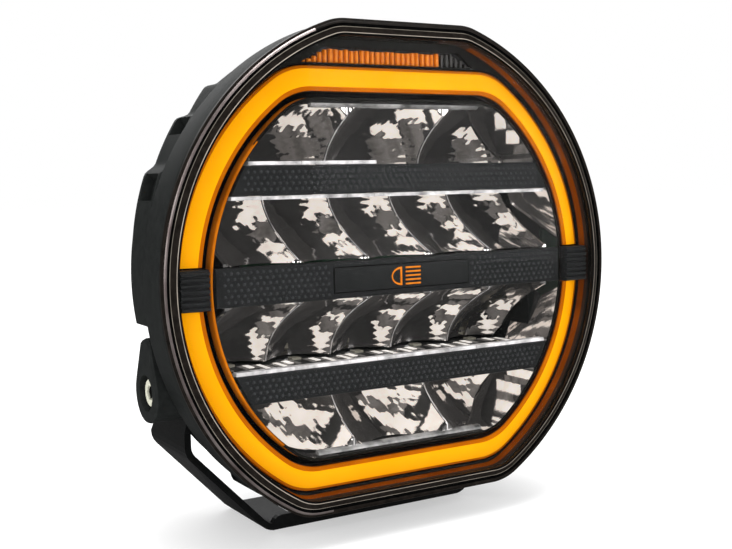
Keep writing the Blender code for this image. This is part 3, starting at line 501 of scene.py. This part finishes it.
def build_warning_light():
    """Upright flutes of uneven height behind the mask's window, each before a backing: the orange ones before
    a darker orange of painted shade, the near-black ones at the right end before the same near black.
    """
    pitch, low, high, start, end = 2.6, 91.3, 97.0, -45.4, 41.6
    front, middle, foot, back = 9.3, 10.0, 11.0, 12.0
    # Flutes right of this point, and their backings, are drawn near black
    dark_flutes_from, chamfer = 24.5, 0.3
    shape = Shape()
    for i in range(int((end - start) / pitch)):
        x = start + pitch * i
        slope = max(start + 11.0 - x, x + pitch - end + 9.0, 0.0) * 0.5
        top = max(high - slope + 0.3 * scatter(i, 3), low + 0.9)
        use = 1 if x > dark_flutes_from else 0
        wide = 1.75 + 0.25 * scatter(i, 1)

        def flute(inset):
            left, right = x + 0.1 + inset, x + wide - inset
            return [(left, low + inset), (right, low + inset), (right, top - inset), (left, top - inset)]

        shape.rows([
            at_depth(flute(0.0), foot), at_depth(flute(0.0), middle), at_depth(flute(chamfer), front),
        ], finish=use)
        backing = [(x, low), (x + pitch, low), (x + pitch, top - 0.5), (x, top - 0.5)]
        shape.rows([at_depth(backing, back), at_depth(backing, foot - 0.2 * (i % 2))], finish=2 - use)
    shape.done("warning_flutes", [orange_glass, dark_flute_glass, orange_shade],
               ("warning_lens",))


def build_ring():
    """The amber ring's two halves, which slope inwards to the front."""
    # Radius, height of the flat and depth, around the ring's section
    sections = (
        (104.7, 90.8, 9.2), (104.4, 90.5, 8.5), (103.3, 89.4, 8.1), (96.5, 81.9, 6.25), (94.8, 80.3, 6.5),
        (94.5, 80.0, 7.0), (94.5, 80.0, 11.5), (104.7, 90.8, 11.5),
    )
    for name, sign in (("upper", 1), ("lower", -1)):
        shape = Shape()
        rows = []
        for radius, flat, depth in sections:
            half = upper_half(radius, flat, RING_CORNER, RING_CUT)
            rows.append([(x, depth, OPTICS_Z + sign * z) for x, z in half])
        # Chamfers and outer wall in the darker amber of painted shade, inner wall and back in brown painted
        # shade
        shape.rows(rows, loop_rows=True, loop_points=False, finish=1, finishes=[1, 1, 0, 1, 1, 2, 2, 1])
        shape.done(f"amber_ring_{name}", [amber_face, amber_edge_painted_shade, brown_wall_painted_light_and_shade],
                   (f"light_ring_{name}",))


# ---------------------------------------------------------------- bars

def add_studs(shape, low, high, half_width, skip=0.0):
    """Rows of small raised six-sided studs on a bar's face."""
    pitch_x, pitch_z, radius, height = 2.9, 2.35, 0.72, 0.28
    lines = int((high - low - 1.6) / pitch_z)
    for j in range(lines):
        z = (low + high) / 2 + (j - (lines - 1) / 2) * pitch_z
        reach = half_width(z) - 2.4
        shift = pitch_x / 2 if j % 2 else 0.0
        for i in range(-32, 33):
            x = i * pitch_x + shift
            if abs(x) > reach or abs(x) < skip:
                continue
            base = circle(radius, 6, x, z, 0.3)
            peak = circle(radius * 0.35, 6, x, z, 0.3)
            shape.rows([
                at_depth(base, BAR_FRONT + 0.2), at_depth(base, BAR_FRONT - 0.05),
                at_depth(peak, BAR_FRONT - height),
            ], finish=1)


def bar_prism(shape, low, high, half_width, depth_back):
    """A bar whose ends follow the optics' outline and whose front edges are rounded."""
    steps = 8

    def outline(inset):
        right = []
        for i in range(steps + 1):
            z = low + inset + (high - low - 2 * inset) * i / steps
            right.append((half_width(z) - inset, z))
        return right + [(-x, z) for x, z in reversed(right)]

    shape.rows([
        at_depth(outline(0.6), BAR_FRONT), at_depth(outline(0.2), BAR_FRONT + 0.15),
        at_depth(outline(0.0), BAR_FRONT + 0.6), at_depth(outline(0.0), depth_back),
    ])


def build_centre_bar(low, high):
    """The centre bar, studded on both sides of the badge."""
    shape = Shape()
    bar_prism(shape, low, high, lambda z: 89.4, BAR_BACK + 1.0)
    add_studs(shape, low, high, lambda z: 88.5, BADGE_HALF_WIDTH + 2.2)
    shape.done("bar_centre", [bar_grey, stud_grey_painted_sheen], ("centre_bar",))


def build_badge():
    """The plain panel in the centre bar, with a thin dark line around it."""
    shape = Shape()
    w, h = BADGE_HALF_WIDTH, BADGE_HALF_HEIGHT

    def plate(grow):
        return [(-w - grow, OPTICS_Z - h - grow), (w + grow, OPTICS_Z - h - grow),
                (w + grow, OPTICS_Z + h + grow), (-w - grow, OPTICS_Z + h + grow)]

    shape.rows([at_depth(plate(0.0), 4.4), at_depth(plate(0.0), 3.85), at_depth(plate(-0.5), 3.75)])
    shape.rows([at_depth(plate(0.0), 4.13), at_depth(plate(0.45), 4.13), at_depth(plate(0.45), 4.4),
                at_depth(plate(0.0), 4.4)], loop_rows=True, finish=1)
    shape.done("badge_blank", [panel_grey, groove_black], ("badge_panel",))


def build_symbol():
    """The generic high-beam symbol on the panel: a hollow bulb and five lines."""
    front, back = 3.4, 3.75
    lines, line_pitch, line_half = 5, 1.8, 0.36
    shape = Shape()
    bulb, inner = [
        [(-gap - 5.3 * size * math.cos(math.radians(a)), OPTICS_Z + 4.1 * size * math.sin(math.radians(a)))
         for a in range(-90, 91, 15)] for gap, size in ((1.2, 1.0), (2.0, 0.76))
    ]
    shape.rows([at_depth(bulb, front), at_depth(inner, front), at_depth(inner, back), at_depth(bulb, back)],
               loop_rows=True)
    for i in range(lines):
        z = OPTICS_Z + (i - (lines - 1) / 2) * line_pitch
        shape.box(0.8, 8.6, front, back, z - line_half, z + line_half)
    shape.done("beam_symbol", [symbol_orange_painted_glow])


def build_end_block(name, side, low, high):
    """The ribbed block at one end of the centre bar."""
    overlap, ribs, foot, groove, crest = 0.3, 7, 7.6, 2.9, 2.0
    pitch = (high - low + 2 * overlap) / ribs
    profile = [(foot, low - overlap), (2.5, low - overlap)]
    for i in range(ribs):
        start = low - overlap + pitch * i
        profile += [(crest, start + pitch * 0.12), (crest, start + pitch * 0.55),
                    (groove, start + pitch * 0.72), (groove, start + pitch * 0.95)]
    profile += [(foot, high + overlap)]
    shape = Shape()
    shape.rows([[(side * x, d, z) for d, z in profile] for x in (92.8, 105.2)])
    shape.done(f"end_block_{name}", [bar_grey], (f"ribbed_block_{name}",), sharp=20.0)


def build_side_bar(name, sign):
    """The studded bar above or below the centre."""
    low, high = sorted((OPTICS_Z + sign * SIDE_BAR_LOW, OPTICS_Z + sign * SIDE_BAR_HIGH))

    def half_width(z):
        return math.sqrt((SHROUD_INNER - 0.6) ** 2 - (z - OPTICS_Z) ** 2)

    shape = Shape()
    bar_prism(shape, low, high, half_width, BAR_BACK)
    add_studs(shape, low, high, half_width)
    shape.done(f"bar_{name}", [bar_grey, stud_grey_painted_sheen], (f"{name}_bar",))


def build_bars():
    low, high = OPTICS_Z - CENTRE_BAR_HALF, OPTICS_Z + CENTRE_BAR_HALF
    build_centre_bar(low, high)
    build_badge()
    build_symbol()
    build_end_block("left", -1, low, high)
    build_end_block("right", 1, low, high)
    build_side_bar("upper", 1)
    build_side_bar("lower", -1)


# ---------------------------------------------------------------- reflectors

def bowl(across, away):
    """A paraboloid's depth, across from its axis and away from its board."""
    return BOWL_APEX - (across ** 2 + away ** 2) / (4 * BOWL_FOCUS)


def facet_corner(a, b):
    return bowl(a * FACET_WIDTH, b * FACET_HEIGHT) + FACET_SCATTER * scatter(a, b)


def bowl_depth(across, away, half):
    """The paraboloid, mostly made of small, nearly flat facets, with a narrow flat along each ridge."""
    across = max(min(across, half - RIDGE_FLAT), RIDGE_FLAT - half)
    a = math.floor(across / FACET_WIDTH)
    b = math.floor(away / FACET_HEIGHT)
    s, t = across / FACET_WIDTH - a, away / FACET_HEIGHT - b
    low = facet_corner(a, b) * (1 - s) + facet_corner(a + 1, b) * s
    high = facet_corner(a, b + 1) * (1 - s) + facet_corner(a + 1, b + 1) * s
    depth = bowl(across, away) * (1 - FACET_SHARE) + (low * (1 - t) + high * t) * FACET_SHARE
    return max(depth, BOWL_FRONT + 0.3 * scatter(a, b))


def add_pads(name, pitch, cells, base, sign, side, pads):
    """The light chips, and solder pads on both sides of each, as (near x, far x, front, back, finish)."""
    shape = Shape()
    low, high = sorted((OPTICS_Z + side * (base + sign * 0.05), OPTICS_Z + side * (base + sign * 0.35)))
    chip_low, chip_high = sorted((OPTICS_Z + side * base, OPTICS_Z + side * (base + sign * CHIP_HEIGHT)))
    chip_depth = BOWL_APEX - BOWL_FOCUS
    for i in range(cells):
        centre = (i - (cells - 1) / 2) * pitch
        for number, (x0, x1, d0, d1, tone) in enumerate(pads):
            shift = 0.5 * scatter(i + 3 * side, number)
            for flip in (-1, 1):
                left, right = sorted((flip * x0, flip * x1))
                shape.box(centre + left, centre + right, d0 + shift, d1 + shift, low, high, finish=tone)
        shape.box(centre - CHIP_HALF, centre + CHIP_HALF, chip_depth - CHIP_HALF, chip_depth + CHIP_HALF,
                  chip_low, chip_high, finish=2)
    shape.done(f"pads_row_{name}", [pad_bright_painted_glow, pad_grey_painted_glow, chip_pale])


def add_ridge(shape, x, base, reach, sign, side, pitch):
    """The line where two bowls meet, drawn bright as a painted highlight."""
    steps, half = 24, 0.22
    rows = []
    for j in range(steps + 1):
        away = BOWL_START + 0.1 + (reach - BOWL_START - 0.2) * j / steps
        depth = bowl_depth(pitch / 2, away, pitch / 2)
        z = OPTICS_Z + side * (base + sign * away)
        rows.append([(x - half, depth + 0.7, z), (x + half, depth + 0.7, z),
                     (x + half, depth - 0.15, z), (x - half, depth - 0.15, z)])
    shape.rows(rows, finish=1)


def build_reflector(name, pitch, cells, base, reach, sign, side):
    """A row of half bowls. base is the board's face, sign leads away from it, side is the row's half."""
    per_cell = int(pitch / BOWL_GRID)
    centres = [(i - (cells - 1) / 2) * pitch for i in range(cells)]
    steps = int(reach / BOWL_GRID)
    front, back = [], []
    for j in range(steps + 1):
        away = BOWL_START + (reach - BOWL_START) * j / steps
        height = base + sign * away
        limit = shroud_half_width(height)
        line = []
        for i, centre in enumerate(centres):
            low = max(centre - pitch / 2, -limit) if i else -limit
            high = min(centre + pitch / 2, limit) if i < cells - 1 else limit
            for k in range(0 if i == 0 else 1, per_cell + 1):
                x = low + (high - low) * k / per_cell
                line.append((x, bowl_depth(x - centre, away, pitch / 2), OPTICS_Z + side * height))
        front.append(line)
        back.append([(x, d + BOWL_SHELL, z) for x, d, z in line])
    shape = Shape()
    shape.sheet(front, back)
    for centre in centres[:-1]:
        add_ridge(shape, centre + pitch / 2, base, reach, sign, side, pitch)
    add_strip(shape, sign, side)
    if sign > 0:
        add_lip(shape, side)
    shape.done(f"bowls_{name}", [chrome_painted_glow, silver_lip_painted_highlight, silver_shade],
               (f"reflector_row_{name}",), sharp=18.0)


def add_strip(shape, sign, side):
    """The narrow lip beside a side bar, drawn bright as a painted highlight, in lengths that lean a little
    differently.

    The inner rows have it all along, row 1 only on its left part, and row 4 not at all.
    """
    edge = SIDE_BAR_HIGH + 0.2 if sign > 0 else SIDE_BAR_LOW - 0.2
    far = edge + sign * STRIP_HEIGHT
    wide = shroud_half_width(max(edge, far)) - 0.4
    count = len(STRIP_LEANS)
    for i, lean in enumerate(STRIP_LEANS):
        if sign > 0 and (side < 0 or i >= STRIP_LENGTHS_ROW_1):
            continue
        x0 = -wide + 2 * wide * i / count
        x1 = -wide + 2 * wide * (i + 1) / count - 0.15
        near_z, far_z = OPTICS_Z + side * edge, OPTICS_Z + side * far
        section = [(5.2, near_z), (5.2 + lean, far_z), (9.0, far_z), (9.0, near_z)]
        shape.rows([[(x, d, z) for d, z in section] for x in (x0, x1)], finish=1)


def add_lip(shape, side):
    """The curved silver edge at the outer end of the outer rows."""
    section = ((6.0, 75.1), (6.3, 74.2), (7.4, 73.5), (9.2, 73.3), (9.2, 75.1))
    wide = shroud_half_width(75.1) - 1.0
    shape.rows([[(x, d, OPTICS_Z + side * z) for d, z in section] for x in (-wide, wide)], finish=2)


def build_reflectors():
    """Four rows: the outer ones open away from the centre bar, the inner ones towards it."""
    outer_reach = SHROUD_INNER_FLAT - 0.8 - BOARD_FACE_OUTER
    inner_reach = BOARD_FACE_INNER - CENTRE_BAR_HALF - 0.4
    wide_pads = (
        (4.6, 8.4, 31.0, 42.5, 1), (8.8, 12.0, 33.5, 41.5, 0), (8.6, 12.0, 25.0, 32.0, 1),
        (12.6, 16.4, 23.0, 33.0, 0), (16.8, 20.5, 15.5, 27.0, 1), (12.2, 16.2, 14.0, 20.5, 0),
    )
    broad_pads = (
        (4.0, 7.0, 27.0, 43.0, 0), (7.3, 9.4, 30.0, 43.0, 1), (9.7, 13.4, 24.0, 43.0, 0),
        (13.8, 16.0, 17.0, 36.0, 1), (16.4, 20.5, 13.0, 34.0, 0), (4.4, 11.8, 14.0, 22.0, 0),
    )
    narrow_pads = (
        (3.6, 6.6, 37.0, 43.5, 0), (7.0, 9.8, 33.0, 40.0, 1), (10.2, 12.6, 30.0, 37.5, 0),
        (12.9, 15.7, 21.0, 33.0, 0), (9.6, 12.4, 19.0, 27.0, 1), (4.0, 8.4, 22.0, 30.0, 1),
    )
    close_pads = (
        (2.8, 5.2, 34.0, 43.8, 1), (5.5, 8.4, 36.5, 43.8, 0), (8.8, 11.2, 32.0, 43.0, 1),
        (11.5, 13.6, 27.0, 42.0, 0), (13.9, 15.9, 18.0, 40.0, 1), (5.0, 10.8, 17.0, 28.0, 1),
    )
    add_pads("1", WIDE_PITCH, 3, BOARD_FACE_OUTER, 1, 1, wide_pads)
    add_pads("2", NARROW_PITCH, 5, BOARD_FACE_INNER, -1, 1, narrow_pads)
    add_pads("3", NARROW_PITCH, 5, BOARD_FACE_INNER, -1, -1, close_pads)
    add_pads("4", WIDE_PITCH, 3, BOARD_FACE_OUTER, 1, -1, broad_pads)
    build_reflector("1", WIDE_PITCH, 3, BOARD_FACE_OUTER, outer_reach, 1, 1)
    build_reflector("2", NARROW_PITCH, 5, BOARD_FACE_INNER, inner_reach, -1, 1)
    build_reflector("3", NARROW_PITCH, 5, BOARD_FACE_INNER, inner_reach, -1, -1)
    build_reflector("4", WIDE_PITCH, 3, BOARD_FACE_OUTER, outer_reach, 1, -1)


# ---------------------------------------------------------------- housing

def body_radius(rise):
    """Radius of the lobed body at an angle in degrees above the horizontal: a mean over nearby angles."""
    reach, step = 3, 0.35
    total = 0.0
    for k in range(-reach, reach + 1):
        angle = rise + k * step
        low = LOBES[0]
        radius = LOBES[-1][1] if angle > LOBES[-1][0] else low[1]
        for high in LOBES[1:]:
            if low[0] <= angle <= high[0]:
                radius = low[1] + (high[1] - low[1]) * (angle - low[0]) / (high[0] - low[0])
            low = high
        total += radius
    return total / (2 * reach + 1)


def body_row(depth, shrink, scale_lobes=1.0, side_wall=0.0, pocket=0.0):
    """One ring of points on the lobed body, whose sides are flat low down, between the bracket's arms."""
    row = []
    shelf = SIDE_FLAT_TOP + side_wall
    for i in range(HOUSING_STEPS):
        angle = 2 * math.pi * i / HOUSING_STEPS
        side, up = math.cos(angle), math.sin(angle)
        rise = math.degrees(math.asin(up))
        radius = LOBE_BASE + (body_radius(rise) - LOBE_BASE) * scale_lobes - shrink
        if pocket and any(low < rise < high for low, high in POCKETS):
            radius -= pocket
        if up > 0.01:
            radius = min(radius, (RIM_TOP - 2.2 - shrink) / up)
        if up < -0.01:
            radius = min(radius, (RIM_BOTTOM - 2.2 - shrink) / -up)
        if radius * up < shelf:
            radius = min(radius, (SIDE_FLAT - max(shrink - 14.0, side_wall)) / max(abs(side), 0.01))
            if abs(side) > 0.9:
                radius = max(radius, -shelf / max(-up, 0.01))
        row.append((radius * side, depth, radius * up))
    return row


def band_row(depth, inset):
    """One ring of points on the smooth band, at the same angles as the body's."""
    row = []
    radius_here = RIM_RADIUS - inset
    corner = RIM_CORNER - inset
    for i in range(HOUSING_STEPS):
        angle = 2 * math.pi * i / HOUSING_STEPS
        side, up = math.cos(angle), math.sin(angle)
        flat = (RIM_TOP if up > 0 else RIM_BOTTOM) - inset
        centre_z = flat - corner
        centre_x = math.sqrt((radius_here - corner) ** 2 - centre_z ** 2)
        radius = radius_here
        if centre_x * abs(up) > flat * abs(side):
            radius = flat / abs(up)
        elif centre_x * abs(up) > centre_z * abs(side):
            along = centre_x * abs(side) + centre_z * abs(up)
            radius = along + math.sqrt(along ** 2 - centre_x ** 2 - centre_z ** 2 + corner ** 2)
        row.append((radius * side, depth, radius * up))
    return row


def build_housing():
    """The die-cast cup: smooth band, lobes with pockets between them, and a round body."""
    shape = Shape()
    outside = [
        band_row(5.2, 1.9), band_row(5.4, 1.5), band_row(5.9, 1.25), band_row(6.6, 1.2),
        band_row(24.0, 1.2), band_row(24.6, 1.4), band_row(25.0, 2.1),
        body_row(25.5, 0.9), body_row(25.8, 0.3), body_row(26.6, 0.0), body_row(27.6, 0.0),
        body_row(28.0, 0.0, pocket=POCKET_DEPTH), body_row(42.0, 0.0, pocket=POCKET_DEPTH),
        body_row(42.4, 0.0), body_row(44.6, 0.0), body_row(45.4, 0.3), body_row(46.2, 0.9),
        body_row(48.0, 2.4), body_row(51.0, 7.0, 0.7), body_row(54.0, 12.0, 0.4), body_row(56.0, 13.2, 0.2),
        body_row(70.0, 15.0, 0.0), body_row(75.5, 16.2, 0.0), body_row(77.3, 18.2, 0.0),
        body_row(78.0, 21.0, 0.0),
    ]
    inside = [
        body_row(73.5, 24.5, 0.0), body_row(52.0, 17.2, 0.0), body_row(44.0, 9.2, 0.0, 2.8),
        body_row(22.0, 9.2, 0.0, 2.8), band_row(20.0, 4.4), band_row(5.2, 4.2),
    ]
    shape.rows(list(reversed(outside)) + list(reversed(inside)))
    holes = Shape()
    for radius, z in BACK_HOLES:
        holes.prism(circle(radius, BORE_STEPS, 0.0, z), 65.0, 84.0)
    bore = circle(INSERT_BORE, BORE_STEPS, PIVOT_DEPTH, PIVOT_Z)
    for side in (-1, 1):
        holes.rows([[(side * x, d, z) for d, z in bore] for x in (78.0, 92.0)])
    shape.done("housing_casting", [cast_black], ("housing",), sharp=40.0,
               cutters=[holes.build("holes")])


def build_fins():
    """Upright cooling fins on the housing's back, thinner and shorter towards their tips."""
    shape = Shape()
    for i in range(FIN_COUNT):
        x = (i - (FIN_COUNT - 1) / 2) * FIN_PITCH
        high = math.sqrt(FIN_REACH ** 2 - x ** 2) - FIN_TOP_GAP
        low = -high if abs(x) > SHORT_FIN_X else SHORT_FIN_LOW
        rows = []
        for depth, half, draw in FIN_SECTIONS:
            foot, top = low + draw, high - draw
            corners = [(x - half, foot), (x + half, foot), (x + half, top), (x - half, top)]
            rows.append(at_depth(corners, depth))
        shape.rows(rows)
    shape.done("housing_fins", [cast_black])


# ---------------------------------------------------------------- kept CAD nodes

def keep(node, material, bevel=0.0):
    """A CAD node that stays, in a better material, with its edges softened."""
    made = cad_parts[node]
    made.data.materials.clear()
    made.data.materials.append(material)
    if bevel:
        weld = made.modifiers.new("weld", "WELD")
        weld.merge_threshold = 0.01 * MM
        add_bevel(made, bevel)


def build_sockets():
    """The dark hexagonal sockets in the pivot bolts' heads."""
    for name, side in (("left", -1), ("right", 1)):
        shape = Shape()
        outline = circle(SOCKET_RADIUS, 6, PIVOT_DEPTH, PIVOT_Z)
        shape.rows([[(side * x, d, z) for d, z in outline] for x in SOCKET_REACH])
        shape.done(f"bolt_socket_{name}", [groove_black], body="bracket")


def keep_nodes():
    """Materials for every CAD node that no finer piece stands for."""
    keep("mounting_bracket", steel_black, 0.5)
    for side in ("left", "right"):
        keep(f"pivot_block_{side}", cast_black, 0.6)
        keep(f"pivot_bolt_{side}", bolt_cream)
        keep(f"pivot_washer_{side}", bare_steel)
        keep(f"pivot_spacer_{side}", nylon)
        keep(f"threaded_insert_{side}", bare_steel)
    for level in ("upper", "lower"):
        keep(f"heat_plate_{level}", aluminium)
        keep(f"ring_board_{level}", board_dark)
    for i in range(1, 5):
        keep(f"led_board_row_{i}", board_dark)
        keep(f"driver_screw_{i}", bare_steel)
    for i in range(1, 4):
        keep(f"driver_capacitor_{i}", aluminium)
        keep(f"driver_coil_{i}", nylon)
    for node, material in (
        ("warning_board", board_dark), ("driver_board", board_green), ("lens_seal", rubber),
        ("cable_gland_seal", rubber), ("cable_gland_body", nylon), ("cable_gland_nut", nylon),
        ("breather_vent", nylon),
    ):
        keep(node, material)


# ---------------------------------------------------------------- studio

def add_softbox(name, place, width, height, power):
    """A rectangular soft light that faces the lamp."""
    light = bpy.data.lights.new(name, "AREA")
    light.shape = "RECTANGLE"
    light.size, light.size_y = width, height
    light.energy = power
    made = bpy.data.objects.new(name, light)
    bpy.context.scene.collection.objects.link(made)
    made.location = place
    made.rotation_mode = "QUATERNION"
    made.rotation_quaternion = (Vector(AIM) - Vector(place)).to_track_quat("-Z", "Y")


def build_floor():
    """A pale floor that is darker in mirror reflections, so that the reflectors keep their dark parts."""
    reach = FLOOR_REACH
    mesh = bpy.data.meshes.new("floor")
    mesh.from_pydata([(-reach, -reach, 0), (reach, -reach, 0), (reach, reach, 0), (-reach, reach, 0)], [],
                     [(0, 1, 2, 3)])
    floor = bpy.data.objects.new("floor", mesh)
    bpy.context.scene.collection.objects.link(floor)
    pale = finish("pale_floor", (0.57, 0.57, 0.57), (0.59, 0.59, 0.59), 0.8, scale=3.0, gloss=0.0, glow=0.78)
    nodes, links = pale.node_tree.nodes, pale.node_tree.links
    path = nodes.new("ShaderNodeLightPath")
    tone = nodes.new("ShaderNodeMixRGB")
    tone.inputs["Color2"].default_value = FLOOR_IN_MIRRORS
    links.new(path.outputs["Is Glossy Ray"], tone.inputs["Fac"])
    links.new(nodes["Color Ramp"].outputs["Color"], tone.inputs["Color1"])
    for socket in ("Base Color", "Emission Color"):
        links.new(tone.outputs["Color"], nodes["Principled BSDF"].inputs[socket])
    mesh.materials.append(pale)


def build_room():
    """White surroundings that are nearly black in mirror reflections."""
    world = bpy.data.worlds.new("studio")
    bpy.context.scene.world = world
    world.use_nodes = True
    nodes, links = world.node_tree.nodes, world.node_tree.links
    path = nodes.new("ShaderNodeLightPath")
    reflected = nodes.new("ShaderNodeMixRGB")
    reflected.inputs["Color1"].default_value = WHITE
    reflected.inputs["Color2"].default_value = ROOM_IN_MIRRORS
    links.new(path.outputs["Is Glossy Ray"], reflected.inputs["Fac"])
    tone = nodes.new("ShaderNodeMixRGB")
    tone.inputs["Color2"].default_value = WHITE
    links.new(path.outputs["Is Camera Ray"], tone.inputs["Fac"])
    links.new(reflected.outputs["Color"], tone.inputs["Color1"])
    links.new(tone.outputs["Color"], nodes["Background"].inputs["Color"])


def build_studio():
    build_floor()
    for softbox in SOFTBOXES:
        add_softbox(*softbox)
    build_room()
    bpy.context.scene.view_settings.view_transform = "Standard"


def build_camera():
    """The photo's camera."""
    yaw, pitch, roll = (math.radians(angle) for angle in (CAMERA_YAW, CAMERA_PITCH, CAMERA_ROLL))
    ahead = Vector((math.sin(yaw) * math.cos(pitch), math.cos(yaw) * math.cos(pitch), -math.sin(pitch)))
    right = Vector((math.cos(yaw), -math.sin(yaw), 0.0))
    up = right.cross(ahead)
    tilted_right = right * math.cos(roll) + up * math.sin(roll)
    tilted_up = up * math.cos(roll) - right * math.sin(roll)
    camera = bpy.data.cameras.new("camera")
    camera.sensor_width = CAMERA_SENSOR
    camera.lens = CAMERA_LENS
    camera.clip_start, camera.clip_end = 0.02, 50.0
    made = bpy.data.objects.new("camera", camera)
    bpy.context.scene.collection.objects.link(made)
    turn = Matrix((tilted_right, tilted_up, -ahead)).transposed().to_4x4()
    turn.translation = RIM_CENTRE + Vector(CAMERA_PLACE) * MM
    made.matrix_world = turn
    bpy.context.scene.camera = made


build_lens()
build_bezels()
build_warning_light()
build_ring()
build_bars()
build_reflectors()
build_housing()
build_fins()
build_sockets()
keep_nodes()
build_studio()
build_camera()
